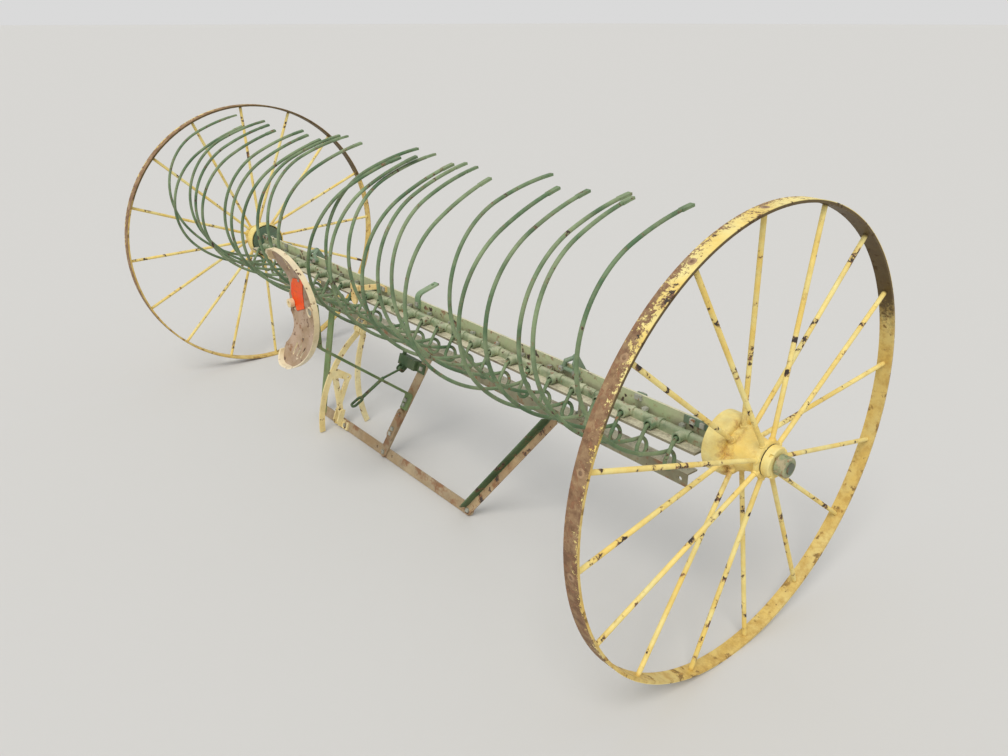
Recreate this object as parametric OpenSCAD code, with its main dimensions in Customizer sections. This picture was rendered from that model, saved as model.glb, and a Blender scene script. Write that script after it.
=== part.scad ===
// Two-wheeled dump rake for hay, tipped past its dumped position, with the front frame hanging on the ground.
// X runs along the axle, the seat is towards -Y, Z is up and the ground is at z = 0.

/* [Wheels] */
// Radius of a wheel over its rim
wheel_r = 685.8; // [660:0.2:710]
// From the middle of the rake to the middle of a rim
rim_x = 1581.7; // [1575:0.1:1640]
// Width of the rim
rim_w = 44.4; // [36:0.2:56]
// Thickness of the rim
rim_t = 9; // [6:0.5:12]
// Spokes in a wheel, half from each hub flange
spoke_count = 16; // [12:4:20]
// Radius of a spoke
spoke_r = 7; // [5:0.5:8]
// Angle of the right wheel's first inner spoke
right_phase = 7.5; // [0:0.5:22]
// Angle of the left wheel's first inner spoke
left_phase = 1.6; // [0:0.1:22]

/* [Hubs] */
// From the rim's middle in to the mouth of the ratchet drum
drum_in = 106.7; // [100:0.1:120]
// Radius of the ratchet drum
drum_r = 90; // [88:0.5:100]
// Wall of the ratchet drum
drum_wall = 6; // [4:0.5:7]
// Length of the ratchet drum
drum_len = 62; // [56:1:68]
// Radius of the hub barrel beside the drum
barrel_in_r = 60; // [54:0.5:64]
// Radius of the hub barrel at its outer end
barrel_out_r = 45; // [38:0.5:50]
// Radius of the flange that holds the inner spokes
inner_flange_r = 67; // [64:0.5:74]
// Radius of the flange that holds the outer spokes
outer_flange_r = 55; // [52:0.5:62]
// From the drum's mouth to the outer spoke flange
outer_flange_at = 152; // [144:1:156]
// From the drum's mouth to the nose of the hub
hub_len = 185; // [178:1:190]
// Radius of the hub's nose ring
nose_r = 46; // [40:0.5:52]
// Ratchet teeth inside the drum
ratchet_teeth = 12; // [8:1:16]
// Height of a ratchet tooth
ratchet_h = 8; // [4:0.5:9]

/* [Axles] */
// Radius of a stub axle
axle_r = 16; // [14:0.5:18]
// Length of a stub axle that lies along the head
axle_on_head = 310; // [200:5:400]
// Radius of the collar outside a hub
collar_r = 29.5; // [26:0.5:34]
// Length of a collar
collar_len = 30; // [24:1:36]
// From a hub's nose to its collar
collar_gap = 5; // [5:0.5:8]
// Radius of the pin through a collar
collar_pin_r = 4; // [3:0.5:5]
// Radius of the cover inside a ratchet drum
cover_r = 78; // [70:0.5:78]
// Thickness of a drum cover
cover_t = 8; // [5:0.5:10]

/* [Head] */
// Height of the head angle's upright flange
head_up = 72; // [70:0.5:78]
// Width of the head angle's level flange
head_flat = 78; // [76:0.5:80]
// Thickness of the head angle
head_t = 8; // [6:0.5:9]
// From the axle's centre down to the underside of the head
head_drop = 28.8; // [27:0.2:32]
// Clear space between the end of the head and a drum's mouth
head_end_gap = 15; // [12:0.5:24]

/* [Teeth] */
// Distance from tooth to tooth
tooth_pitch = 106.2; // [104:0.1:107]
// From the right end of the head to the first tooth
tooth_inset = 73; // [70:0.5:80]
// Radius of the tooth wire
wire_r = 6; // [5:0.1:6.2]
// Bend radius where the wire leaves its holder
elbow_r = 20; // [18:0.5:22]
// Straight shank inside the holder
shank_len = 44; // [30:1:48]
// Bend radius from the holder down to the coil
drop_r = 14; // [12:0.5:16]
// Angle of the wire's drop to the coil
drop_angle = 59; // [54:1:62]
// Length of the straight drop to the coil
drop_len = 55; // [50:1:62]
// Radius of the coil
coil_r = 25; // [23:0.5:27]
// Sideways step of the coil's turn
coil_step = 14; // [13.6:0.1:16]
// Angle of the coil at which the blade leaves it
leave_angle = 83; // [78:1:88]
// Radius of the blade's lower bend
blade_r1 = 465; // [440:5:490]
// Angle of the blade's lower bend
blade_a1 = 49; // [46:1:52]
// Radius of the blade's middle bend
blade_r2 = 295; // [280:5:310]
// Angle of the blade's middle bend
blade_a2 = 100; // [94:1:104]
// Radius of the blade's upper bend
blade_r3 = 860; // [800:10:900]
// Angle of the blade's upper bend
blade_a3 = 15; // [12:1:18]
// Width of a blade's flattened tip
tip_w = 16; // [13:0.5:20]
// Thickness of a blade's flattened tip
tip_t = 8; // [5:0.5:10]
// Length of a blade's flattened tip
tip_len = 46; // [30:1:60]

/* [Tooth holders] */
// Teeth held by one holder rail
rail_teeth = 4; // [3:1:5]
// Radius of the rounded rail over the shanks
rail_r = 12; // [11:0.5:13]
// Radius of a holder's mouth
mouth_r = 16; // [14:0.5:17]
// From the upright flange to the shanks' centre line
shank_out = 21.7; // [21.5:0.1:23]
// Length of the tube in front of a holder's elbow
mouth_len = 22; // [16:1:24]
// Radius of the counterbore in a holder's mouth
mouth_bore_r = 11; // [9:0.5:12]
// Radius of a holder bolt
rail_bolt_r = 5; // [4:0.1:5.1]
// Width across a holder bolt's square head
rail_bolt_head = 15; // [13:0.5:16]

/* [Front frame] */
// Angle between the hanging frame and the upright
frame_tilt = 17.8; // [15:0.1:20]
// Width of the frame's flat bars
bar_w = 45; // [38:0.5:48]
// Thickness of the frame's flat bars
bar_t = 8; // [6:0.5:10]
// Height of the sill above the ground
sill_z = 482; // [470:1:490]
// Height of the sill angle
sill_up = 45; // [42:0.5:50]
// Width of the sill angle's level flange
sill_flat = 48; // [46:0.5:54]
// Thickness of the sill angle
sill_t = 6; // [5:0.5:8]
// Half the length of the sill
sill_half = 1375; // [1340:1:1400]
// Left end of the bar on the ground
front_left = -685; // [-720:1:-660]
// Right end of the bar on the ground
front_right = 480; // [460:1:520]
// Sideways place of the outer legs on the sill
leg_top_x = 790; // [770:1:830]
// Sideways place of the centre leg on the bar on the ground
centre_foot_x = -132; // [-160:1:-110]
// Sideways place of the centre leg on the sill
centre_top_x = 30; // [10:1:40]
// Width of each side of the right leg's angle
leg_angle_w = 38; // [34:0.5:44]
// Thickness of the right leg's angle
leg_angle_t = 5.5; // [4:0.5:6]
// Radius of the frame bolts
bolt_r = 6; // [4:0.5:7]
// Radius of the bare bolt holes in the bars
open_hole_r = 7; // [6:0.5:8]

/* [Hinges] */
// Sideways place of the hinge arms
hinge_x = 905; // [880:1:930]
// From the axle's centre back to the hinge pins
hinge_back = 26; // [25:0.5:30]
// Radius of a hinge pin
hinge_pin_r = 10; // [8:0.5:11]
// Radius of a hinge arm's eye
hinge_eye_r = 18; // [17:0.5:20]
// Thickness of a hinge arm
hinge_arm_t = 10; // [8:0.5:12]

/* [Seat] */
// Place of the pan's middle
seat_at = [120, -572, 845];
// Radius of the pan's dish
seat_dish_r = 360; // [330:5:420]
// Thickness of the pan
seat_t = 5; // [3:0.5:7]
// Half the width of the pan across both lobes
seat_half = 215; // [208:1:222]
// Radius of the pan's rear edge
seat_back_r = 226; // [224:1:232]
// From the pan's middle to its rear edge
seat_back = 145; // [138:1:152]
// From the pan's middle to its front edge
seat_front = 95; // [88:1:100]
// Thickness of the seat's spring bar
spring_t = 10; // [8:0.5:12]

/* [Levers] */
// Sideways place of the lift lever
lift_x = -500; // [-520:1:-480]
// Width of the lift lever's bars
lift_w = 26; // [20:0.5:28]
// Thickness of the lift lever's bars
lift_t = 8; // [6:0.5:10]
// Radius of the lift lever's pin
lift_pin_r = 8; // [6:0.5:9]
// Width of the lever over the head
lever_w = 30; // [24:1:36]
// Thickness of the lever over the head
lever_t = 8; // [6:0.5:10]
// Radius of the pedal's rod
pedal_r = 7; // [5:0.5:8]
// Sideways place of the pedal
pedal_x = -104; // [-112:1:-100]

/* [Hidden] */
$fn = 48;

// Clearances: a running fit, pieces seated on each other, and a bolt in its hole
run_gap = 0.05;
seat_gap = 0.3;
hole_gap = 0.3;

// Short sleeves join the stretches of a tooth's wire, and each stretch stops wire_joint short of its end
wire_joint = 0.3;
sleeve_wall = 0.15;
sleeve_len = 2;
link_inset = 0.02;

axle_z = wheel_r;
drum_x = rim_x - drum_in;
head_half = drum_x - head_end_gap;
head_back = -axle_r - seat_gap;
head_front = head_back - head_t;
head_z = axle_z - head_drop;
flat_z = head_z + head_t;
collar_at = drum_x + hub_len + collar_gap;
axle_end = collar_at + collar_len;

// Lean towards +X and droop towards the seat of each tooth, in degrees, first tooth on the right
tooth_bend = [
    [0, 0], [-5, 3], [1, 1], [1, 5], [2, 7], [-3, -3], [-2, 10], [-8, 3], [-4, 3],
    [3, 6], [-7, -1], [3, 6], [0, -2], [12, 6], [0, 0], [4, 4], [-5, -1], [2, 1],
    [9, 7], [7, 6], [6, 3], [0, 0], [10, 7], [7, 4], [5, 1], [12, 9], [-4, 1]
];
tooth_count = len(tooth_bend);
missing_teeth = [14, 21];
set_size = 3;

first_x = head_half - tooth_inset;
function wire_x(k) = first_x - k * tooth_pitch;
shank_y = head_front - shank_out;
shank_z = flat_z + mouth_r + seat_gap;
elbow_y = shank_y - elbow_r;
mouth_y = elbow_y - mouth_len;
drop_c = [mouth_y + 3, shank_z - drop_r];
drop_end = 90 + drop_angle;
coil_c = drop_c + polar(drop_r - coil_r, drop_end) + polar(drop_len, drop_end + 90);

// Holder rails, cut from the row of teeth, with their bolts between the shanks and the upright flange
rail_over = 36;
rail_joint = 2;
rail_low_y = shank_y - rail_r;
rail_top = shank_z + rail_r;
rail_firsts = [for (k = [0:rail_teeth:tooth_count - 1]) k];
rail_bolt_y = shank_y + wire_r + rail_bolt_r + 2 * hole_gap;
rail_bolt_pitch = tooth_pitch * rail_teeth / (rail_teeth - 1);
function rail_last(first) = min(first + rail_teeth, tooth_count) - 1;
function rail_lo(first) = wire_x(rail_last(first)) - rail_over;
function rail_hi(first) = first == 0 ? head_half - 1 : wire_x(first - 1) - rail_over - rail_joint;
function rail_bolts(first) = [
    for (j = [0:rail_teeth - 2])
    let (x = wire_x(first) - 23 - j * rail_bolt_pitch)
    if (x > rail_lo(first) + 12) x
];

// Hanging front frame: its plane meets the front of the sill, and v runs up the plane from the ground
sill_front = -3;
frame_v = (sill_z - bar_t * sin(frame_tilt) - 2) / cos(frame_tilt);
frame_y = sill_front - frame_v * sin(frame_tilt) + bar_t * cos(frame_tilt);
foot_v = bar_w / 2;
tab_top = sill_z + sill_up - 4;
tab_z = sill_z + sill_up / 2 - 3;
tab_bolts = [for (x = [-leg_top_x, centre_top_x, leg_top_x]) for (f = [-11, 11]) x + f];
arm_bolts = [for (s = [-1, 1]) for (f = [-22, 22]) s * (hinge_x + f)];
arm_bolt_y = hinge_back;
splice_bolts = [120, 145, 220];
spring_bolts = [270, 294];
box_bolt_v = 448;
function on_centre(v) =
    [centre_foot_x + (centre_top_x - centre_foot_x) * (v - foot_v) / (frame_v - foot_v), v];

// Pieces bolted through the head's upright flange
tail_t = 12;
tail_x = hinge_x - hinge_arm_t / 2 - 1 - tail_t / 2;
bracket_z = head_z + 57;
bracket_foot = 32;
bracket_bolts = [for (s = [-1, 1]) for (f = [-1, 1]) s * tail_x + f * bracket_foot];
strap_z = head_z + 62.8;
strap_out = 24;
end_plate = [96, 24];
strap_spans = [[drum_x - 90, drum_x - 30], [drum_x - 305, drum_x - 270]];
function strap_bolt_x(span, f) = span[0] + 12 + f * (span[1] - span[0] - 24);
strap_bolts = [for (s = [-1, 1]) for (span = strap_spans) for (f = [0, 1]) s * strap_bolt_x(span, f)];
casting_z = head_z + 60;
casting_bolts = [-270, -250];

// Lift lever and pedal
lift_pin = [-24, sill_z - 20];
pivot_bolts = [lift_x - 13, lift_x + 13];
yoke_x = lift_x + 34;
foot_bolts = [front_left, centre_foot_x, front_right, yoke_x];
tongue_holes = [centre_foot_x - 60, centre_foot_x + 60];
pedal_pin = [-62, 404];
pedal_pin_r = 6;
bow_arc = [[-36, 438], [-167, 298], [-250, 5]];
rear_arc = [[-16, 433], [-60, 250], [-27, 5]];
bow_x = lift_x - 14;
rear_x = lift_x + 12;

// Seat: its bolt holds the pan's rear pad on the spring's upright end
seat_pad = 10;
seat_bolt = [34, -9];
spring_w = 44;
seat_lip = 14;
lobe_r = 50;
lug_r = 19;
dish_fn = 180;
spring_bend = 22;
lever_bend = 30;
bend_steps = 8;

function polar(r, a) = [r * cos(a), r * sin(a)];
function centre3(a, b, c) =
    let (d = 2 * (a.x * (b.y - c.y) + b.x * (c.y - a.y) + c.x * (a.y - b.y)),
        aa = a * a, bb = b * b, cc = c * c)
    [aa * (b.y - c.y) + bb * (c.y - a.y) + cc * (a.y - b.y),
     aa * (c.x - b.x) + bb * (a.x - c.x) + cc * (b.x - a.x)] / d;
function angle2(v) = atan2(v.y, v.x);
function unit(v) = v / norm(v);

// A path with its corners rounded to a bend radius
function rounded_path(p, r) = [
    for (i = [0:len(p) - 1])
        if (i == 0 || i == len(p) - 1) p[i]
        else let (
            u = unit(p[i - 1] - p[i]),
            w = unit(p[i + 1] - p[i]),
            back = r / tan(acos(u * w) / 2)
        ) for (s = [0:1 / bend_steps:1]) p[i] + (u * (1 - s) * (1 - s) + w * s * s) * back
];

// A path moved sideways, and the outline of a strip of thickness t along it
function beside(p, d) = [
    for (i = [0:len(p) - 1])
        let (
            j = max(i, 1),
            k = min(i + 1, len(p) - 1),
            a = unit(p[j] - p[j - 1]),
            b = unit(p[k] - p[k - 1])
        ) p[i] + [-a.y - b.y, a.x + b.x] * d / (1 + a * b)
];
function strip(p, t) =
    let (back = beside(p, -t / 2))
    concat(beside(p, t / 2), [for (i = [len(p) - 1:-1:0]) back[i]]);

// Extrudes a Y-Z outline from x0 to x1
module along_x(x0, x1) {
    translate([x0, 0, 0]) rotate([90, 0, 90]) linear_extrude(x1 - x0) children();
}

// Sweeps a section round a centre in the Y-Z plane, angles measured from +Y to +Z
module arc_yz(c, r, a0, a1) {
    translate([0, c.x, c.y]) rotate([90, 0, 90]) rotate([0, 0, a0])
        rotate_extrude(angle = a1 - a0) translate([r, 0]) children();
}

// Puts a hub or axle piece, drawn outwards along Z from the drum's mouth, on the axle of one side
module on_side(side) {
    mirror([side < 0 ? 1 : 0, 0, 0]) translate([drum_x, 0, axle_z]) rotate([90, 0, 90]) children();
}

// A flat link between two rounded ends, its sides link_inset short of the ends' edges
module link(p, q, r1, r2, t) {
    d = q - p;
    n = [-d.y, d.x] / norm(d);
    s1 = n * (r1 - link_inset);
    s2 = n * (r2 - link_inset);
    translate([p.x, p.y, 0]) cylinder(r = r1, h = t);
    translate([q.x, q.y, 0]) cylinder(r = r2, h = t);
    linear_extrude(t) polygon([p + s1, q + s2, q - s2, p - s1]);
}

// The same link drawn in Y-Z, from x0 to x1
module link_x(x0, x1, p, q, r1, r2) {
    translate([x0, 0, 0]) rotate([90, 0, 90]) link(p, q, r1, r2, x1 - x0);
}

// A round bar between two points
module rod(p, q, r) {
    d = q - p;
    translate(p) rotate([0, acos(d.z / norm(d)), atan2(d.y, d.x)]) cylinder(r = r, h = norm(d));
}

module hex(r, h) {
    cylinder(r = r, h = h, $fn = 6);
}

// A bolt along Y with a square head in front and a nut behind
module bolt_y(x, z, y0, y1, r) {
    translate([x - 1.3 * r, y0 - 1.2 * r, z - 1.3 * r]) cube([2.6 * r, 1.2 * r, 2.6 * r]);
    translate([x, y1 + r, z]) rotate([90, 0, 0]) hex(1.6 * r, r);
    translate([x, y1 + 1.5 * r, z]) rotate([90, 0, 0]) cylinder(r = r, h = y1 + 1.5 * r - y0 + 0.5);
}

// Wheels: a riveted steel rim, dished rods and a cast hub with its ratchet drum
module hub() {
    difference() {
        rotate_extrude() polygon(concat(
            [[0, drum_len - 10], [drum_r - drum_wall, drum_len - 10], [drum_r - drum_wall, 0], [drum_r - 2, 0],
             [drum_r, 2]],
            [for (a = [0:15:90]) [drum_r - 14, drum_len - 14] + polar(14, a)],
            [[inner_flange_r, drum_len], [inner_flange_r, drum_len + 17], [barrel_in_r, drum_len + 20],
             [barrel_out_r, outer_flange_at - 10], [outer_flange_r, outer_flange_at - 7],
             [outer_flange_r, outer_flange_at + 5], [nose_r - 4, outer_flange_at + 7],
             [nose_r - 4, outer_flange_at + 9], [nose_r, outer_flange_at + 10], [nose_r, hub_len - 3],
             [nose_r - 3, hub_len], [0, hub_len]]
        ));
        translate([0, 0, -1]) cylinder(r = axle_r + run_gap, h = hub_len + 2);
        for (k = [0:3]) rotate([0, 0, 45 + 90 * k])
            translate([nose_r - 7, -5, hub_len - 9]) cube([12, 10, 12]);
    }
    for (k = [0:ratchet_teeth - 1]) rotate([0, 0, k * 360 / ratchet_teeth])
        translate([0, 0, drum_len - 10 - 30]) linear_extrude(31) polygon([
            [drum_r - drum_wall + 1, -12], [drum_r - drum_wall - ratchet_h, 0], [drum_r - drum_wall + 1, 0]
        ]);
}

module spoke(at, from) {
    run = wheel_r - rim_t * 0.4 - from;
    tilt = atan2(drum_in - at, run);
    translate([from, 0, at]) rotate([0, 90 - tilt, 0]) {
        cylinder(r = spoke_r, h = run / cos(tilt));
        cylinder(r = spoke_r + 3, h = 26);
    }
}

module wheel(phase) {
    step = 720 / spoke_count;
    color("khaki") {
        hub();
        for (k = [0:spoke_count / 2 - 1]) {
            rotate([0, 0, phase + k * step]) spoke(drum_len + 9, barrel_in_r - 12);
            rotate([0, 0, phase + (k + 0.5) * step]) spoke(outer_flange_at - 1, barrel_out_r - 12);
        }
        translate([0, 0, drum_in - rim_w / 2]) rotate_extrude()
            translate([wheel_r - rim_t, 0]) square([rim_t, rim_w]);
    }
}

module wheel_right() {
    on_side(1) wheel(right_phase);
}

module wheel_left() {
    on_side(-1) wheel(left_phase);
}

// Covers inside the drums, held on the stub axles against the ends of the head
module drum_covers() {
    color("darkseagreen") for (side = [-1, 1]) on_side(side) difference() {
        union() {
            translate([0, 0, -2]) cylinder(r = cover_r, h = cover_t);
            translate([0, 0, -head_end_gap + seat_gap]) cylinder(r = axle_r + 9, h = head_end_gap - 1);
            translate([0, 0, cover_t - 2]) cylinder(r1 = axle_r + 14, r2 = axle_r + 8, h = 12);
        }
        translate([0, 0, -head_end_gap]) cylinder(r = axle_r + seat_gap, h = 60);
    }
}

// Stub axles behind the head's upright flange
module axles() {
    color("darkolivegreen") for (side = [-1, 1]) on_side(side) difference() {
        translate([0, 0, -head_end_gap - axle_on_head]) cylinder(
            r = axle_r, h = axle_end - drum_x + head_end_gap + axle_on_head + 4
        );
        translate([0, -60, collar_at - drum_x + collar_len / 2]) rotate([-90, 0, 0])
            cylinder(r = collar_pin_r + hole_gap, h = 120);
    }
}

// Collars pinned outside the hubs
module collars() {
    color("seagreen") for (side = [-1, 1]) on_side(side) {
        difference() {
            union() {
                translate([0, 0, collar_at - drum_x]) cylinder(r = collar_r, h = collar_len - 2);
                translate([0, 0, axle_end - drum_x - 2]) cylinder(r1 = collar_r, r2 = collar_r - 2, h = 2);
            }
            translate([0, 0, collar_at - drum_x - 1]) cylinder(r = axle_r + seat_gap, h = collar_len + 2);
        }
        translate([0, -collar_r - 3, collar_at - drum_x + collar_len / 2]) rotate([-90, 0, 0])
            cylinder(r = collar_pin_r, h = 2 * collar_r + 6);
    }
}

// Head: the long angle that carries the teeth
module head_angle() {
    color("darkseagreen") difference() {
        along_x(-head_half, head_half) {
            translate([head_front, head_z]) square([head_t, head_up]);
            translate([head_back - head_flat, head_z]) square([head_flat, head_t]);
        }
        for (first = rail_firsts) for (x = rail_bolts(first))
            translate([x, rail_bolt_y, head_z - 1]) cylinder(r = rail_bolt_r + hole_gap, h = head_t + 2);
        for (x = concat(bracket_bolts, [0])) flange_hole(x, bracket_z);
        for (x = strap_bolts) flange_hole(x, strap_z);
        for (x = casting_bolts) flange_hole(x, casting_z);
    }
}

module flange_hole(x, z) {
    translate([x, head_front - 1, z]) rotate([-90, 0, 0]) cylinder(r = bolt_r + hole_gap, h = head_t + 2);
}

// Straps that hold the stub axles to the head, with a plate in front at each end
module end_brackets() {
    color("seagreen") for (side = [-1, 1]) mirror([side < 0 ? 1 : 0, 0, 0]) {
        for (span = strap_spans) difference() {
            along_x(span[0], span[1]) difference() {
                union() {
                    translate([0, axle_z]) circle(strap_out);
                    translate([head_back, axle_z - strap_out]) square([-head_back, 2 * strap_out]);
                    translate([head_back, axle_z]) square([8, head_z + head_up - axle_z]);
                }
                translate([0, axle_z]) circle(axle_r + seat_gap);
                translate([head_back - 5, axle_z - axle_r - seat_gap])
                    square([5 - head_back, 2 * axle_r + 2 * seat_gap]);
                translate([head_back - 30, axle_z - strap_out - 1]) square([30, 2 * strap_out + 2]);
            }
            for (f = [0, 1]) flange_hole_long(strap_bolt_x(span, f), strap_z);
        }
        difference() {
            translate([head_half - end_plate.x, head_front - 7, strap_z - end_plate.y / 2])
                cube([end_plate.x - 1, 7, end_plate.y - 3]);
            for (f = [0, 1]) flange_hole_long(strap_bolt_x(strap_spans[0], f), strap_z);
        }
    }
}

module flange_hole_long(x, z) {
    translate([x, -60, z]) rotate([-90, 0, 0]) cylinder(r = bolt_r + hole_gap, h = 100);
}

// Cast holder rails: a rounded rail over the shanks, with an elbow and a mouth for each tooth
module holder_rail(first) {
    difference() {
        union() {
            along_x(rail_lo(first), rail_hi(first)) {
                translate([shank_y, shank_z]) circle(rail_r);
                translate([rail_low_y, flat_z]) square([head_front - seat_gap - rail_low_y, shank_z - flat_z]);
            }
            for (k = [first:rail_last(first)]) translate([wire_x(k), 0, 0]) mouth(mouth_r);
            for (x = rail_bolts(first)) translate([x, rail_bolt_y, flat_z])
                cylinder(r = head_front - seat_gap - rail_bolt_y, h = rail_top - flat_z);
        }
        for (k = [first:rail_last(first)]) translate([wire_x(k), 0, 0]) {
            mouth(wire_r + hole_gap);
            translate([elbow_r, shank_y, shank_z]) rotate([0, 90, 0])
                cylinder(r = wire_r + hole_gap, h = shank_len + 1);
            translate([0, mouth_y - 1, shank_z]) rotate([-90, 0, 0]) cylinder(r = mouth_bore_r, h = 15);
        }
        for (x = rail_bolts(first)) translate([x, rail_bolt_y, 0]) {
            translate([0, 0, flat_z - 1]) cylinder(r = rail_bolt_r + hole_gap, h = 60);
            translate([0, 0, rail_top]) cylinder(r = rail_bolt_head * 0.8, h = 20);
        }
    }
}

module mouth(r) {
    translate([0, mouth_y, shank_z]) rotate([-90, 0, 0]) cylinder(r = r, h = mouth_len);
    translate([elbow_r, elbow_y, shank_z]) rotate([0, 0, 90]) rotate_extrude(angle = 90)
        translate([elbow_r, 0]) circle(r);
}

module holder_rails() {
    color("darkseagreen") for (first = rail_firsts) holder_rail(first);
}

// Square-headed bolts that clamp the rails to the level flange
module holder_bolts() {
    half = rail_bolt_head / 2;
    color("seagreen") for (first = rail_firsts) for (x = rail_bolts(first))
        translate([x, rail_bolt_y, 0]) {
            translate([-half, -half, rail_top]) cube([2 * half, 2 * half, 8]);
            translate([0, 0, head_z - 9]) cylinder(r = rail_bolt_r, h = rail_top - head_z + 10);
            translate([0, 0, head_z - 6]) hex(rail_bolt_r * 1.7, 6);
        }
}

// A stretch of wire bent round a centre, a little short at both ends, where the joints' sleeves close it
module bend(c, r, a0, a1) {
    trim = wire_joint / r * 180 / PI;
    arc_yz(c, r, a0 + trim, a1 - trim) circle(wire_r);
}

// A sleeve over the joint of two stretches, its axis along Z
module sleeve() {
    translate([0, 0, -sleeve_len / 2]) cylinder(r = wire_r + sleeve_wall, h = sleeve_len);
}

module sleeve_on(c, r, a) {
    translate([0, c.x, c.y]) rotate([a, 0, 0]) translate([0, r, 0]) sleeve();
}

// Spring teeth: shank, elbow, drop, coil and a blade of three bends with a flattened tip
module tooth(lean, droop) {
    leave = leave_angle + droop;
    heading = leave + 90;
    blade_at = coil_c + polar(coil_r, leave);
    turn = atan2(coil_step / 2, coil_r);
    ring_r = norm([coil_r, coil_step / 2]);
    trim = wire_joint / ring_r * 180 / PI;
    shank_wire();
    bend(drop_c, drop_r, 90, drop_end);
    sleeve_on(drop_c, drop_r, drop_end);
    translate([0, drop_c.x, drop_c.y]) rotate([drop_end, 0, 0]) translate([0, drop_r, wire_joint])
        cylinder(r = wire_r, h = drop_len - 2 * wire_joint);
    sleeve_on(coil_c, coil_r, drop_end);
    bend(coil_c, coil_r, drop_end, leave + 180);
    sleeve_on(coil_c, coil_r, leave + 180);
    translate([-coil_step / 2, coil_c.x, coil_c.y]) rotate([heading, 0, 0]) rotate([0, turn, 0])
        rotate([90, 0, 90]) rotate([0, 0, 90 + trim]) rotate_extrude(angle = 180 - 2 * trim)
            translate([ring_r, 0]) circle(wire_r);
    translate([-coil_step, 0, 0]) {
        sleeve_on(coil_c, coil_r, leave);
        translate([0, blade_at.x, blade_at.y]) rotate(-lean, v = [0, cos(heading), sin(heading)])
            translate([0, -blade_at.x, -blade_at.y]) blade(leave);
    }
}

module shank_wire() {
    trim = wire_joint / elbow_r * 180 / PI;
    translate([elbow_r + wire_joint, shank_y, shank_z]) rotate([0, 90, 0]) cylinder(r = wire_r, h = shank_len);
    translate([elbow_r, shank_y, shank_z]) rotate([0, 90, 0]) sleeve();
    translate([elbow_r, elbow_y, shank_z]) rotate([0, 0, 90 + trim]) rotate_extrude(angle = 90 - 2 * trim)
        translate([elbow_r, 0]) circle(wire_r);
    translate([0, elbow_y, shank_z]) rotate([90, 0, 0]) sleeve();
    translate([0, drop_c.x + wire_joint, shank_z]) rotate([-90, 0, 0])
        cylinder(r = wire_r, h = elbow_y - drop_c.x - 2 * wire_joint);
    translate([0, drop_c.x, shank_z]) rotate([90, 0, 0]) sleeve();
}

module blade(leave) {
    c1 = coil_c + polar(coil_r + blade_r1, leave);
    a1 = leave + 180 - blade_a1;
    c2 = c1 + polar(blade_r1 - blade_r2, a1);
    a2 = a1 - blade_a2;
    c3 = c2 + polar(blade_r2 - blade_r3, a2);
    a3 = a2 - blade_a3;
    flat = a3 + tip_len / blade_r3 * 180 / PI;
    bend(c1, blade_r1, a1, leave + 180);
    sleeve_on(c1, blade_r1, a1);
    bend(c2, blade_r2, a2, a1);
    sleeve_on(c2, blade_r2, a2);
    bend(c3, blade_r3, flat - 0.5, a2);
    arc_yz(c3, blade_r3, a3, flat) square([tip_t, tip_w], center = true);
}

module tooth_set(n) {
    color("darkseagreen") for (k = [(n - 1) * set_size:n * set_size - 1])
        if (len(search(k, missing_teeth)) == 0)
            translate([wire_x(k), 0, 0]) tooth(tooth_bend[k][0], tooth_bend[k][1]);
}

// Hinge brackets: wishbone castings over the head's upright flange, with a fixed pin behind it
module hinge_brackets() {
    apex = [head_back + 8.3, head_z + head_up + 24];
    eye = [hinge_back, axle_z];
    color("darkseagreen") for (side = [-1, 1]) mirror([side < 0 ? 1 : 0, 0, 0]) difference() {
        union() {
            link_x(tail_x - tail_t / 2, tail_x + tail_t / 2, apex, eye, 11, hinge_eye_r);
            translate([tail_x, eye.x, eye.y]) rotate([0, 90, 0])
                cylinder(r = hinge_pin_r, h = tail_t / 2 + hinge_arm_t + 6);
            for (f = [-1, 1]) {
                translate([tail_x + f * bracket_foot, head_front - 16, bracket_z]) rotate([-90, 0, 0])
                    cylinder(r = 10.5, h = 16);
                shoulder = [tail_x + f * 20, head_front - 8.5, head_z + head_up + 13];
                rod([tail_x + f * bracket_foot, head_front - 8.5, bracket_z], shoulder, 7);
                translate(shoulder) sphere(8);
                rod(shoulder, [tail_x + f * 3, apex.x, apex.y], 7.5);
            }
            translate([tail_x - bracket_foot, head_front - 8.5, bracket_z]) rotate([0, 90, 0])
                cylinder(r = 7, h = 2 * bracket_foot);
        }
        for (f = [-1, 1]) flange_hole_long(tail_x + f * bracket_foot, bracket_z);
    }
}

// Lever over the middle of the head: a flat strip that rises in front of the flange and bends back over it
module head_lever() {
    top = head_z + head_up;
    mid = head_front - lever_t / 2;
    path = [[mid, head_z + 40], [mid, top + 24], [head_front + 92, top + 52]];
    color("darkseagreen") difference() {
        along_x(-lever_w / 2, lever_w / 2) polygon(strip(rounded_path(path, lever_bend), lever_t));
        flange_hole_long(0, bracket_z);
        translate([0, head_front + 72, top]) cylinder(r = open_hole_r, h = 80);
    }
}

// Lift casting: a foot on the upright flange, a cranked arm out over the rail and a plate on its end
module lift_casting() {
    plate_y = head_front - 86;
    plan = [[-238, head_front - lift_t / 2], [-300, head_front - lift_t / 2], [-334, plate_y], [-390, plate_y]];
    color("gold") difference() {
        union() {
            translate([0, 0, casting_z - 12]) linear_extrude(22)
                polygon(strip(rounded_path(plan, 20), lift_t));
            translate([0, plate_y + lift_t / 2, 0]) rotate([90, 0, 0])
                link([-371, head_z + 50], [-371, head_z], 22, 22, lift_t - 0.4);
            translate([-334, plate_y - 8, casting_z - 12]) cylinder(r = 11, h = 22);
        }
        for (x = casting_bolts) flange_hole_long(x, casting_z);
        translate([-371, head_front - 100, head_z + 24]) rotate([-90, 0, 0]) cylinder(r = open_hole_r, h = 30);
    }
}

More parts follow.
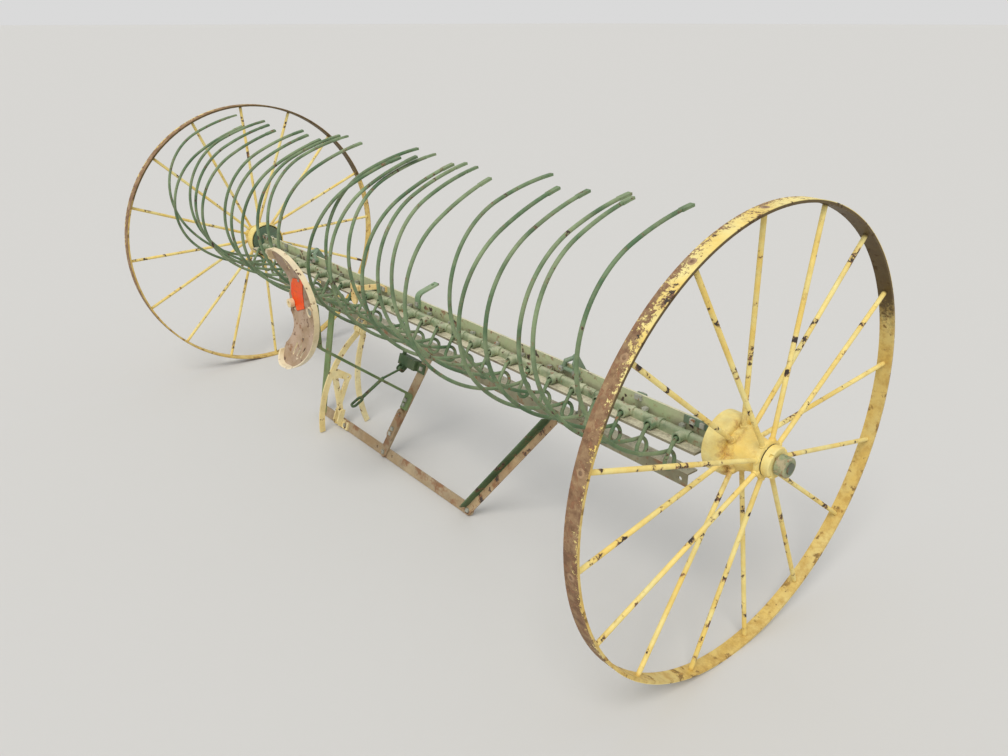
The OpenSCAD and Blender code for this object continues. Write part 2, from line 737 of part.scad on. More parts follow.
// Sill: the frame's rear angle bar
module sill() {
    color("slategray") difference() {
        along_x(-sill_half, sill_half) {
            translate([sill_front, sill_z]) square([sill_t, sill_up]);
            translate([sill_front, sill_z + sill_up - sill_t]) square([sill_flat, sill_t]);
        }
        for (x = concat(tab_bolts, pivot_bolts)) sill_hole(x, bolt_r + hole_gap);
        for (s = [-1, 1]) sill_hole(s * (sill_half - 25), open_hole_r);
        for (x = arm_bolts) translate([x, arm_bolt_y, sill_z]) cylinder(r = bolt_r + hole_gap, h = 80);
    }
}

module sill_hole(x, r) {
    translate([x, sill_front - 40, tab_z]) rotate([-90, 0, 0]) cylinder(r = r, h = 80);
}

// Hinge arms: cast feet on the sill with eyes on the head's hinge pins
module hinge_arms() {
    foot_z = sill_z + sill_up;
    color("slategray") for (side = [-1, 1]) mirror([side < 0 ? 1 : 0, 0, 0]) difference() {
        union() {
            translate([hinge_x - 36, sill_front + 5, foot_z]) cube([72, sill_flat - 6, 8]);
            along_x(hinge_x - hinge_arm_t / 2, hinge_x + hinge_arm_t / 2) {
                translate([hinge_back, axle_z]) circle(hinge_eye_r);
                polygon([
                    [sill_front + 6, foot_z + 7], [sill_front + sill_flat - 3, foot_z + 7],
                    [hinge_back + 14, axle_z - 10], [hinge_back - 14, axle_z - 10]
                ]);
            }
        }
        translate([0, hinge_back, axle_z]) rotate([0, 90, 0])
            cylinder(r = hinge_pin_r + run_gap, h = hinge_x + 60);
        for (f = [-22, 22]) translate([hinge_x + f, arm_bolt_y, foot_z - 1])
            cylinder(r = bolt_r + hole_gap, h = 12);
    }
}

// The frame's plane: x stays across the rake, y runs up the plane and z out to the front
module in_frame() {
    translate([0, frame_y, 0]) rotate([90 - frame_tilt, 0, 0]) children();
}

// A flat bar in the frame's plane with rounded ends
module frame_bar(p, q, w, n0, t) {
    translate([0, 0, n0]) link(p, q, w / 2, w / 2, t);
}

module front_bar() {
    color("tan") in_frame() difference() {
        frame_bar([front_left, foot_v], [front_right, foot_v], bar_w, 0, bar_t);
        for (x = foot_bolts) translate([x, foot_v, -1]) cylinder(r = bolt_r + hole_gap, h = bar_t + 2);
        for (x = tongue_holes) translate([x, foot_v, -1]) cylinder(r = open_hole_r, h = bar_t + 2);
    }
}

// One leg's top: an upright tab against the front of the sill
module leg_tab(x, w) {
    difference() {
        translate([x - w / 2, sill_front - bar_t, sill_z - 8]) cube([w, bar_t, tab_top - sill_z + 8]);
        for (f = [-11, 11]) sill_hole(x + f, bolt_r + hole_gap);
    }
}

module foot_hole(x) {
    in_frame() translate([x, foot_v, 0]) cylinder(r = bolt_r + hole_gap, h = 60);
}

module leg_right() {
    run = [leg_top_x - front_right, frame_v - foot_v];
    half = leg_angle_w / 2;
    color("sienna") difference() {
        union() {
            in_frame() intersection() {
                translate([front_right, foot_v, bar_t]) rotate([0, 0, angle2(run)]) {
                    rotate([90, 0, 90]) linear_extrude(norm(run) + half) polygon([
                        [-half, 0], [half, 0], [half, leg_angle_w], [half - leg_angle_t, leg_angle_w],
                        [half - leg_angle_t, leg_angle_t], [-half, leg_angle_t]
                    ]);
                    cylinder(r = half - link_inset, h = leg_angle_t);
                }
                cube([2000, frame_v, 100]);
            }
            leg_tab(leg_top_x, leg_angle_w);
        }
        foot_hole(front_right);
        for (f = [-11, 11]) sill_hole(leg_top_x + f, bolt_r + hole_gap);
    }
}

module flat_leg(foot_x, top_x) {
    difference() {
        union() {
            in_frame() intersection() {
                frame_bar([foot_x, foot_v], [top_x, frame_v], bar_w, bar_t, bar_t);
                translate([-2000, 0, 0]) cube([4000, frame_v, 100]);
            }
            leg_tab(top_x, bar_w);
        }
        foot_hole(foot_x);
        for (f = [-11, 11]) sill_hole(top_x + f, bolt_r + hole_gap);
    }
}

module leg_left() {
    color("seagreen") flat_leg(front_left, -leg_top_x);
}

// Centre leg, spliced with a plate on its front
module leg_centre() {
    color("rosybrown") difference() {
        union() {
            flat_leg(centre_foot_x, centre_top_x);
            in_frame() frame_bar(on_centre(112), on_centre(222), bar_w, 2 * bar_t, bar_t);
        }
        for (v = concat(splice_bolts, spring_bolts, [box_bolt_v])) in_frame() translate([on_centre(v).x, v, 0])
            cylinder(r = bolt_r + hole_gap, h = 60);
    }
}

// A bolt square to the frame's plane, with its head in front
module frame_bolt(x, v, n0, n1) {
    in_frame() translate([x, v, 0]) {
        translate([-8, -8, n1]) cube([16, 16, 7]);
        translate([0, 0, n0 - 8]) cylinder(r = bolt_r, h = n1 - n0 + 9);
        translate([0, 0, n0 - 6]) hex(bolt_r * 1.7, 6);
    }
}

module frame_bolts() {
    color("dimgray") {
        for (x = [front_left, centre_foot_x]) frame_bolt(x, foot_v, 0, 2 * bar_t);
        frame_bolt(front_right, foot_v, 0, bar_t + leg_angle_t);
        for (v = splice_bolts) frame_bolt(on_centre(v).x, v, bar_t, 3 * bar_t);
        for (v = spring_bolts) frame_bolt(on_centre(v).x, v, bar_t, 2 * bar_t + spring_t);
        frame_bolt(on_centre(box_bolt_v).x, box_bolt_v, bar_t, 2 * bar_t + 6);
        frame_bolt(yoke_x, foot_v, 0, 2 * bar_t);
        translate([seat_at.x + seat_bolt.x, seat_at.y, seat_at.z + seat_bolt.y]) rotate([-90, 0, 0]) {
            translate([0, 0, -5]) cylinder(r = bolt_r + 5, h = 4);
            translate([0, 0, -2]) cylinder(r = bolt_r, h = seat_pad + spring_t + 11);
            translate([0, 0, seat_pad + seat_gap + spring_t]) hex(bolt_r * 1.7, 6);
        }
        for (x = concat(tab_bolts, pivot_bolts)) bolt_y(x, tab_z, sill_front - bar_t, sill_front + sill_t, bolt_r);
        for (x = arm_bolts) translate([x, arm_bolt_y, sill_z + sill_up]) {
            translate([-8, -8, 8]) cube([16, 16, 7]);
            translate([0, 0, -14]) cylinder(r = bolt_r, h = 23);
            translate([0, 0, -sill_t - 6]) hex(bolt_r * 1.7, 6);
        }
    }
}

// Seat spring: a flat bar bolted to the centre leg, rising to an upright end behind the pan
module seat_spring() {
    low = spring_point(250);
    foot = spring_point(322);
    knee = [seat_at.y + seat_pad + seat_gap + spring_t / 2, seat_at.z - 142];
    top = [knee.x, seat_at.z + 18];
    half = [spring_w / 2, 0];
    end_x = seat_at.x + seat_bolt.x;
    front = [[on_centre(250).x, low.y - 20], [on_centre(322).x, foot.y], [end_x, knee.y], [end_x, top.y + 20]];
    color("darkolivegreen") difference() {
        intersection() {
            along_x(-200, 300) polygon(strip(rounded_path([low, foot, knee, top], spring_bend), spring_t));
            translate([0, 100, 0]) rotate([90, 0, 0]) linear_extrude(900)
                polygon(concat([for (p = front) p - half], [for (i = [3:-1:0]) front[i] + half]));
        }
        for (v = spring_bolts) in_frame() translate([on_centre(v).x, v, 0]) cylinder(r = bolt_r + hole_gap, h = 60);
        seat_hole();
    }
}

// The middle of the spring's thickness, in Y-Z, at a height v up the frame's plane
function spring_point(v) =
    let (n = 2 * bar_t + spring_t / 2)
    [frame_y + v * sin(frame_tilt) - n * cos(frame_tilt), v * cos(frame_tilt) + n * sin(frame_tilt)];

module seat_hole() {
    translate([seat_at.x + seat_bolt.x, seat_at.y - 40, seat_at.z + seat_bolt.y]) rotate([-90, 0, 0])
        cylinder(r = bolt_r + hole_gap, h = 80);
}

// Seat: a dished pan of two lobes with a standing rear lip, a pommel lug and a boss for its bolt
module seat() {
    arc_x = seat_back - seat_back_r;
    lobe = [lobe_r - seat_front, seat_half - lobe_r];
    color("wheat") difference() {
        translate(seat_at) rotate([90, 0, 0]) difference() {
            union() {
                intersection() {
                    linear_extrude(200, center = true) {
                        seat_outline(arc_x, lobe, 0);
                        translate([arc_x, 0]) circle(lug_r);
                    }
                    translate([0, 0, seat_dish_r]) difference() {
                        sphere(seat_dish_r + seat_t, $fn = dish_fn);
                        sphere(seat_dish_r, $fn = dish_fn);
                    }
                }
                intersection() {
                    linear_extrude(200) difference() {
                        seat_outline(arc_x, lobe, 0);
                        seat_outline(arc_x, lobe, seat_t);
                        translate([-2 * seat_front, -lobe.y]) square([2 * seat_front + lobe.x, 2 * lobe.y]);
                    }
                    translate([0, 0, seat_dish_r]) difference() {
                        sphere(seat_dish_r + 1, $fn = dish_fn);
                        sphere(seat_dish_r - seat_lip, $fn = dish_fn);
                    }
                }
                translate([seat_bolt.x, seat_bolt.y, -seat_pad]) cylinder(r = 25, h = seat_pad - 1);
                translate([seat_bolt.x, seat_bolt.y, -2]) cylinder(r = 20, h = 8);
                translate([arc_x, 0, 10]) cylinder(r = lug_r - 3, h = 16);
            }
            translate([seat_bolt.x, seat_bolt.y, 1]) cylinder(r = 14, h = 20);
            translate([arc_x, 0, 0]) cylinder(r = lug_r - 11, h = 60);
            for (s = [-1, 1]) for (j = [0:2]) translate([0, 0, -20])
                link([j * 30 - 38, s * 138], [j * 26 - 40, s * 172], 4, 4, 150);
        }
        seat_hole();
    }
}

// The pan seen from the front, with its edge drawn in by the given inset
module seat_outline(arc_x, lobe, inset) {
    half = seat_half - inset;
    difference() {
        union() {
            intersection() {
                translate([arc_x, 0]) circle(seat_back_r - inset);
                translate([lobe.x, -half]) square([2 * seat_back, 2 * half]);
            }
            for (s = [-1, 1]) translate([lobe.x, s * lobe.y]) circle(lobe_r - inset);
            translate([inset - seat_front, -lobe.y]) square([seat_front - inset + lobe.x + 1, 2 * lobe.y]);
        }
        for (s = [-1, 1]) translate([-seat_front - 70, s * (lobe.y - 75)]) circle(90);
    }
}

// Trip box: a casting bolted to the centre leg by its plate, with ears and a fixed pin for the pedal
module trip_box() {
    leg_x = on_centre(box_bolt_v).x;
    box = [[pedal_x - 34, leg_x - 32], [428, 472], [2, 38]];
    color("darkolivegreen") difference() {
        union() {
            in_frame() {
                translate([box[0][0], box[1][0], box[2][0]])
                    cube([box[0][1] - box[0][0], box[1][1] - box[1][0], box[2][1] - box[2][0]]);
                translate([box[0][1] - 20, box_bolt_v - 20, 2 * bar_t]) cube([leg_x + 40 - box[0][1], 40, 6]);
                translate([box[0][0] + 12, box[1][1] - 6, 22]) rotate([-90, 0, 0]) cylinder(r = 9, h = 22);
            }
            for (f = [-1, 1]) link_x(pedal_x + f * 12 - 4, pedal_x + f * 12 + 4, pedal_pin, [-34, 424], 12, 12);
            translate([pedal_x - 20, pedal_pin.x, pedal_pin.y]) rotate([0, 90, 0]) cylinder(r = pedal_pin_r, h = 40);
        }
        in_frame() {
            translate([leg_x, box_bolt_v, 0]) cylinder(r = bolt_r + hole_gap, h = 60);
            translate([box[0][0] + 6, box[1][0] + 8, -1])
                cube([box[0][1] - box[0][0] - 12, box[1][1] - box[1][0] - 14, 30]);
        }
    }
}

// Trip pedal: a cranked rod from its eye to a flat loop
module trip_pedal() {
    eye = [pedal_x, pedal_pin.x, pedal_pin.y];
    knee = [pedal_x - 1, -150, 385];
    loop = [pedal_x + 4, -283, 316];
    color("darkolivegreen") difference() {
        union() {
            translate(eye - [6, 0, 0]) rotate([0, 90, 0]) cylinder(r = 11, h = 12);
            rod(eye, knee, pedal_r - 2);
            translate(knee) sphere(pedal_r);
            rod(knee, loop + [0, 22, 11], pedal_r);
            translate(loop) rotate([27, 0, 0]) translate([0, 0, -4]) link([0, -14], [0, 14], 17, 17, 8);
        }
        translate(eye - [20, 0, 0]) rotate([0, 90, 0]) cylinder(r = pedal_pin_r + run_gap, h = 40);
        translate(loop) rotate([27, 0, 0]) translate([0, 0, -10]) link([0, -14], [0, 11], 9, 9, 20);
    }
}

// Yoke base: two ears on the front bar, open in front, where the lift lever's foot comes down
module yoke_base() {
    color("gold") in_frame() difference() {
        union() {
            translate([bow_x - 24, 3, bar_t]) cube([yoke_x - bow_x + 44, 38, bar_t]);
            for (f = [-1, 1]) along_x(bow_x + f * 18 - 4, bow_x + f * 18 + 4) polygon([
                [6, 2 * bar_t - 1], [40, 2 * bar_t - 1], [88, 14], [92, 26], [84, 40], [30, 44], [10, 34]
            ]);
        }
        translate([yoke_x, foot_v, 0]) cylinder(r = bolt_r + hole_gap, h = 60);
    }
}

// Lift pivot: a plate on the sill with two ears and a fixed pin for the lift lever
module lift_pivot() {
    color("gold") difference() {
        union() {
            translate([lift_x - 32, sill_front - 8, sill_z + 4]) cube([64, 8, 36]);
            for (f = [-1, 1]) link_x(lift_x + f * 28 - 4, lift_x + f * 28 + 4,
                [sill_front - 7, sill_z + 16], lift_pin, 11, 15);
            translate([lift_x - 38, lift_pin.x, lift_pin.y]) rotate([0, 90, 0]) cylinder(r = lift_pin_r, h = 76);
        }
        for (x = pivot_bolts) sill_hole(x, bolt_r + hole_gap);
        translate([lift_x - 60, sill_front, sill_z - 30]) cube([120, 60, 100]);
    }
}

// Lift lever: two bowed bars that turn together on the lift pin
module bow(points, x, w, t) {
    c = centre3(points[0], points[1], points[2]);
    start = angle2(points[0] - c);
    turn = (angle2(points[2] - c) - start + 540) % 360 - 180;
    translate([x, 0, 0]) arc_yz(c, norm(points[0] - c), start + min(turn, 0), start + max(turn, 0))
        square([w, t], center = true);
}

module lift_bars() {
    color("gold") difference() {
        union() {
            translate([bow_x - lift_t / 2, lift_pin.x, lift_pin.y]) rotate([0, 90, 0])
                cylinder(r = lift_pin_r + 7, h = rear_x - bow_x + lift_t);
            bow(bow_arc, bow_x, lift_w, lift_t);
            bow(rear_arc, rear_x, lift_w, lift_t);
            link_x(bow_x - lift_t / 2, bow_x + lift_t / 2, lift_pin, bow_arc[0], lift_pin_r + 7, lift_w / 2);
            link_x(rear_x - lift_t / 2, rear_x + lift_t / 2, lift_pin, rear_arc[0], lift_pin_r + 7, lift_w / 2);
        }
        translate([lift_x - 60, lift_pin.x, lift_pin.y]) rotate([0, 90, 0])
            cylinder(r = lift_pin_r + run_gap, h = 120);
    }
}

// Foot yoke: an A-shaped casting on the bow, its foot free in the yoke base
module foot_yoke() {
    sleeve = [-164, 282];
    eye = [-97, 241];
    crotch = [-152, 122];
    foot = [-150, 68];
    color("gold") difference() {
        union() {
            for (part = [[sleeve, eye, 20, 15], [sleeve, crotch, 12, 12], [eye, crotch, 10, 12],
                         [crotch, foot, 12, 12]])
                link_x(bow_x - 7, bow_x + 7, part[0], part[1], part[2], part[3]);
        }
        translate([bow_x - 20, eye.x, eye.y]) rotate([0, 90, 0]) cylinder(r = open_hole_r, h = 40);
        bow(bow_arc, bow_x, lift_w + 2 * seat_gap, lift_t + 2 * seat_gap);
    }
}

// Square-headed bolts through the head's upright flange
module head_bolts() {
    color("dimgray") {
        for (x = bracket_bolts) bolt_y(x, bracket_z, head_front - 16, head_back, bolt_r);
        for (s = [-1, 1]) for (f = [0, 1]) {
            bolt_y(s * strap_bolt_x(strap_spans[0], f), strap_z, head_front - 7, head_back + 8, bolt_r);
            bolt_y(s * strap_bolt_x(strap_spans[1], f), strap_z, head_front, head_back + 8, bolt_r);
        }
        bolt_y(0, bracket_z, head_front - lever_t, head_back, bolt_r);
        for (x = casting_bolts) bolt_y(x, casting_z, head_front - lift_t, head_back, bolt_r);
    }
}

wheel_right();
wheel_left();
drum_covers();
axles();
collars();
head_angle();
end_brackets();
holder_rails();
holder_bolts();
tooth_set(1);  // tooth_set_1
tooth_set(2);  // tooth_set_2
tooth_set(3);  // tooth_set_3
tooth_set(4);  // tooth_set_4
tooth_set(5);  // tooth_set_5
tooth_set(6);  // tooth_set_6
tooth_set(7);  // tooth_set_7
tooth_set(8);  // tooth_set_8
tooth_set(9);  // tooth_set_9
hinge_brackets();
head_lever();
lift_casting();
sill();
hinge_arms();
front_bar();
leg_right();
leg_centre();
leg_left();
frame_bolts();
seat_spring();
seat();
trip_box();
trip_pedal();
yoke_base();
lift_pivot();
lift_bars();
foot_yoke();
head_bolts();
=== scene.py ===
import math

import bmesh
import bpy
from mathutils import Matrix, Vector


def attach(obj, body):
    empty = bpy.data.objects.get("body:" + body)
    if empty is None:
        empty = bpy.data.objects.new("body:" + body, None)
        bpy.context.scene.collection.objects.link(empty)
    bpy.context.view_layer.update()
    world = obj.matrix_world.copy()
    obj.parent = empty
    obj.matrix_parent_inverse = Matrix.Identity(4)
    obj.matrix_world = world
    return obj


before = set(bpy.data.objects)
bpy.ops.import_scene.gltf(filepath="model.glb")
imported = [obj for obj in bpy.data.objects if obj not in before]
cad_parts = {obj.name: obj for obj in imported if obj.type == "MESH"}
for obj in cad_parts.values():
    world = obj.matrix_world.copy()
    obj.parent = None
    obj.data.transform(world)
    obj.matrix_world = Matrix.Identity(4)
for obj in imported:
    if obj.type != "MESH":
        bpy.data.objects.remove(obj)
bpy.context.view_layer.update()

# Camera: it stands in front of the right wheel, a little over head height, and looks down along the row of
# teeth. Its axes are unit vectors to the right of the picture, up it and into it.
camera_at = Vector((2.68778, -1.78539, 1.76567))
camera_right = Vector((0.6347, 0.7728, 0.0))
camera_up = Vector((-0.3063, 0.2516, 0.9181))
camera_forward = Vector((-0.7096, 0.5825, -0.3964))
camera = bpy.data.objects.new("camera", bpy.data.cameras.new("camera"))
camera.data.lens = 29.58
camera.data.sensor_width = 36.0
camera.matrix_world = Matrix((
    (camera_right.x, camera_up.x, -camera_forward.x, camera_at.x),
    (camera_right.y, camera_up.y, -camera_forward.y, camera_at.y),
    (camera_right.z, camera_up.z, -camera_forward.z, camera_at.z),
    (0.0, 0.0, 0.0, 1.0),
))
bpy.context.scene.collection.objects.link(camera)
bpy.context.scene.camera = camera

# Studio: a wide pale floor under an even white sky, with one broad soft sun from the seat's side for the
# shadow. The camera and glossy surfaces see a plain pale grey in place of the sky's own light.
floor_reach = 400.0
floor_grey = (0.61, 0.60, 0.58, 1.0)
sky_white = (0.96, 0.98, 1.0, 1.0)
sky_strength = 0.72
background_grey = (0.70, 0.70, 0.70, 1.0)
sun_strength = 1.7
sun_spread = math.radians(28)
sun_warmth = (1.0, 0.97, 0.92)
sun_direction = Vector((-0.45, 0.62, -1.0))

floor_mesh = bmesh.new()
bmesh.ops.create_grid(floor_mesh, x_segments=1, y_segments=1, size=floor_reach)
floor_data = bpy.data.meshes.new("floor")
floor_mesh.to_mesh(floor_data)
floor_mesh.free()
floor = bpy.data.objects.new("floor", floor_data)
bpy.context.scene.collection.objects.link(floor)
floor_finish = bpy.data.materials.new("floor_finish")
floor_finish.use_nodes = True
floor_shader = floor_finish.node_tree.nodes["Principled BSDF"]
floor_shader.inputs["Base Color"].default_value = floor_grey
floor_shader.inputs["Roughness"].default_value = 0.95
floor_shader.inputs["Specular IOR Level"].default_value = 0.1
floor_data.materials.append(floor_finish)

sky = bpy.data.worlds.new("sky")
sky.use_nodes = True
sky_light = sky.node_tree.nodes["Background"]
sky_light.inputs["Color"].default_value = sky_white
sky_light.inputs["Strength"].default_value = sky_strength
sky_seen = sky.node_tree.nodes.new("ShaderNodeBackground")
sky_seen.inputs["Color"].default_value = background_grey
sky_choice = sky.node_tree.nodes.new("ShaderNodeMixShader")
rays = sky.node_tree.nodes.new("ShaderNodeLightPath").outputs
seen = rays["Is Camera Ray"]
for kind in ("Is Glossy Ray", "Is Transmission Ray"):
    either = sky.node_tree.nodes.new("ShaderNodeMath")
    either.operation = "MAXIMUM"
    sky.node_tree.links.new(seen, either.inputs[0])
    sky.node_tree.links.new(rays[kind], either.inputs[1])
    seen = either.outputs[0]
sky.node_tree.links.new(seen, sky_choice.inputs[0])
sky.node_tree.links.new(sky_light.outputs[0], sky_choice.inputs[1])
sky.node_tree.links.new(sky_seen.outputs[0], sky_choice.inputs[2])
sky.node_tree.links.new(sky_choice.outputs[0], sky.node_tree.nodes["World Output"].inputs["Surface"])
bpy.context.scene.world = sky

sun = bpy.data.objects.new("sun", bpy.data.lights.new("sun", "SUN"))
sun.data.energy = sun_strength
sun.data.angle = sun_spread
sun.data.color = sun_warmth
sun.rotation_euler = sun_direction.to_track_quat("-Z", "Y").to_euler()
bpy.context.scene.collection.objects.link(sun)
bpy.context.scene.view_settings.view_transform = "Standard"

# Wheels: steel rims on dished round rods with cast hubs, brushed with cream-yellow paint that has chipped
# off the rods and worn off the tread down to brown rust. Each rod's end is riveted over on the tread.
wheel_yellow = (0.92, 0.67, 0.18, 1.0)
sun_bleached_yellow = (0.95, 0.81, 0.33, 1.0)
# The next colour is bare iron, and also the grease and painted shade in the gap at each hub's nose.
bare_iron_and_gap_shade = (0.050, 0.038, 0.032, 1.0)
red_rust = (0.205, 0.110, 0.060, 1.0)
pale_rust = (0.40, 0.26, 0.14, 1.0)
bright_rust = (0.40, 0.20, 0.09, 1.0)
streak_brown = (0.30, 0.26, 0.20, 1.0)
grime_brown = (0.16, 0.125, 0.085, 1.0)
hub_brown = (0.42, 0.22, 0.075, 1.0)
rim_gold = (0.50, 0.31, 0.075, 1.0)
# The next colour is dark rust with painted shade, for the overhanging part of the rim's inner face.
rim_rust_and_shade_black = (0.060, 0.036, 0.016, 1.0)
speck_tan = (0.60, 0.43, 0.20, 1.0)
wheel_radius = 0.6858
rim_middle = 1.5817
tread_edge = 0.0170
hub_reach = 0.10
drum_corner = -0.040
nose_gap_middle = 0.0533
nose_radius = 0.0462
rim_depth = 0.018
tread_skin = 0.0022
# The height above which the rim's inner face gets its dark rust and painted shade.
rust_and_shade_height = 1.10
rod_chips = 0.56
hub_chips = 0.29
spoke_count = 16
right_first_spoke = 7.5
left_first_spoke = 1.6
rivet_ring_radius = 0.0115
rivet_heart_radius = 0.0068


def node(tree, kind, **inputs):
    made = tree.nodes.new(kind)
    for name, value in inputs.items():
        made.inputs[name.replace("_", " ")].default_value = value
    return made


def math_node(tree, operation, first, second=None, clamp=False):
    made = tree.nodes.new("ShaderNodeMath")
    made.operation = operation
    made.use_clamp = clamp
    for socket, value in zip(made.inputs, (first, second)):
        if value is None:
            continue
        if isinstance(value, (int, float)):
            socket.default_value = value
        else:
            tree.links.new(value, socket)
    return made.outputs[0]


def times(tree, first, second):
    return math_node(tree, "MULTIPLY", first, second)


def plus(tree, first, second):
    return math_node(tree, "ADD", first, second)


def minus(tree, first, second):
    return math_node(tree, "SUBTRACT", first, second)


def mix_colour(tree, factor, first, second, blend="MIX"):
    made = tree.nodes.new("ShaderNodeMix")
    made.data_type = "RGBA"
    made.blend_type = blend
    for socket, value in ((made.inputs[0], factor), (made.inputs[6], first), (made.inputs[7], second)):
        if isinstance(value, (int, float, tuple)):
            socket.default_value = value
        else:
            tree.links.new(value, socket)
    return made.outputs[2]


def noise(tree, vector, scale, detail=4.0, roughness=0.55, stretch=None):
    if stretch:
        mapping = tree.nodes.new("ShaderNodeMapping")
        mapping.inputs["Scale"].default_value = stretch
        tree.links.new(vector, mapping.inputs["Vector"])
        vector = mapping.outputs["Vector"]
    made = node(tree, "ShaderNodeTexNoise", Detail=detail, Roughness=roughness)
    if isinstance(scale, (int, float)):
        made.inputs["Scale"].default_value = scale
    else:
        tree.links.new(scale, made.inputs["Scale"])
    tree.links.new(vector, made.inputs["Vector"])
    return made.outputs["Fac"]


def step_up(tree, value, start, width):
    """0 below start, 1 above start + width; start may be a socket."""
    return math_node(tree, "DIVIDE", minus(tree, value, start), width, clamp=True)


def within(tree, value, middle, half, blur):
    """1 where value is less than half away from middle, fading to 0 over blur."""
    away = math_node(tree, "ABSOLUTE", minus(tree, value, middle))
    return minus(tree, 1.0, step_up(tree, away, half, blur))


def axes_of(tree, vector):
    split = node(tree, "ShaderNodeSeparateXYZ")
    tree.links.new(vector, split.inputs[0])
    return split.outputs


def old_paint_group():
    """Old brushed paint: faded patches, crisp chips to bare iron, rust that spreads from them, and grime."""
    group = bpy.data.node_groups.new("old_paint", "ShaderNodeTree")
    sockets = (
        ("Vector", "NodeSocketVector", None), ("Paint", "NodeSocketColor", wheel_yellow),
        ("Faded", "NodeSocketColor", sun_bleached_yellow), ("Iron", "NodeSocketColor", bare_iron_and_gap_shade),
        ("Rust", "NodeSocketColor", red_rust), ("Chips", "NodeSocketFloat", 0.3),
        ("Chip Scale", "NodeSocketFloat", 22.0), ("Rusting", "NodeSocketFloat", 0.3),
        ("Rust Scale", "NodeSocketFloat", 7.0), ("Grime", "NodeSocketFloat", 0.3),
        ("Fade Scale", "NodeSocketFloat", 5.0),
    )
    for name, kind, value in sockets:
        socket = group.interface.new_socket(name, in_out="INPUT", socket_type=kind)
        if value is not None:
            socket.default_value = value
    results = (("Color", "NodeSocketColor"), ("Roughness", "NodeSocketFloat"), ("Height", "NodeSocketFloat"))
    for name, kind in results:
        group.interface.new_socket(name, in_out="OUTPUT", socket_type=kind)
    given = group.nodes.new("NodeGroupInput").outputs
    result = group.nodes.new("NodeGroupOutput").inputs
    vector = given["Vector"]

    fading = step_up(group, noise(group, vector, given["Fade Scale"], 6.0, 0.62), 0.38, 0.24)
    paint = mix_colour(group, fading, given["Paint"], given["Faded"])
    streaks = noise(group, vector, 90.0, 3.0)
    paint = mix_colour(group, times(group, streaks, 0.22), paint, streak_brown, "MULTIPLY")

    chip_noise = noise(group, vector, given["Chip Scale"], 5.0, 0.62)
    chip_start = minus(group, 0.82, times(group, given["Chips"], 0.40))
    chips = step_up(group, chip_noise, chip_start, 0.015)
    rust_noise = noise(group, vector, given["Rust Scale"], 7.0, 0.68)
    rust_start = minus(group, 0.80, times(group, given["Rusting"], 0.50))
    rusting = step_up(group, rust_noise, rust_start, 0.07)
    halo = times(group, step_up(group, chip_noise, minus(group, chip_start, 0.05), 0.06), 0.45)

    rust_tone = mix_colour(group, noise(group, vector, 160.0, 4.0, 0.7), given["Rust"], bright_rust)
    rust_spots = step_up(group, noise(group, vector, 60.0, 4.0), 0.5, 0.12)
    iron_tone = mix_colour(group, rust_spots, given["Iron"], rust_tone)
    colour = mix_colour(group, halo, paint, rust_tone)
    colour = mix_colour(group, rusting, colour, rust_tone)
    colour = mix_colour(group, chips, colour, iron_tone)
    grime_noise = step_up(group, noise(group, vector, 11.0, 8.0, 0.7), 0.42, 0.30)
    colour = mix_colour(group, times(group, grime_noise, given["Grime"]), colour, grime_brown)
    group.links.new(colour, result["Color"])

    worn = math_node(group, "MAXIMUM", chips, rusting)
    rough = plus(group, 0.50, times(group, worn, 0.34))
    group.links.new(plus(group, rough, times(group, streaks, 0.12)), result["Roughness"])
    height = minus(group, 1.0, times(group, chips, 0.75))
    height = minus(group, height, times(group, rusting, 0.25))
    pits = times(group, noise(group, vector, 230.0, 4.0, 0.7), plus(group, 0.10, worn))
    group.links.new(plus(group, height, times(group, pits, 0.5)), result["Height"])
    return group


old_paint = old_paint_group()


def object_vector(tree):
    return tree.nodes.new("ShaderNodeTexCoord").outputs["Object"]


def place_paint(tree, vector, **values):
    """The outputs of one coat of old paint, with its own values."""
    made = tree.nodes.new("ShaderNodeGroup")
    made.node_tree = old_paint
    for name, value in values.items():
        made.inputs[name.replace("_", " ")].default_value = value
    tree.links.new(vector, made.inputs["Vector"])
    return made.outputs


def new_finish(name, bump=0.0006, strength=0.6):
    """A material with its tree, its shader and a Bump node that feeds the shader's Normal."""
    made = bpy.data.materials.new(name)
    made.use_nodes = True
    tree = made.node_tree
    shader = tree.nodes["Principled BSDF"]
    relief = node(tree, "ShaderNodeBump", Distance=bump, Strength=strength)
    tree.links.new(relief.outputs["Normal"], shader.inputs["Normal"])
    shader.inputs["Specular IOR Level"].default_value = 0.3
    return made, tree, shader, relief


def painted(name, bump=0.0006, **values):
    """A material that is one coat of old paint."""
    made, tree, shader, relief = new_finish(name, bump)
    coat = place_paint(tree, object_vector(tree), **values)
    tree.links.new(coat["Color"], shader.inputs["Base Color"])
    tree.links.new(coat["Roughness"], shader.inputs["Roughness"])
    tree.links.new(coat["Height"], relief.inputs["Height"])
    return made


def dress(finish, *names):
    """Gives CAD nodes their finish in all their slots."""
    for name in names:
        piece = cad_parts[name]
        if not piece.material_slots:
            piece.data.materials.append(finish)
        for slot in piece.material_slots:
            slot.material = finish


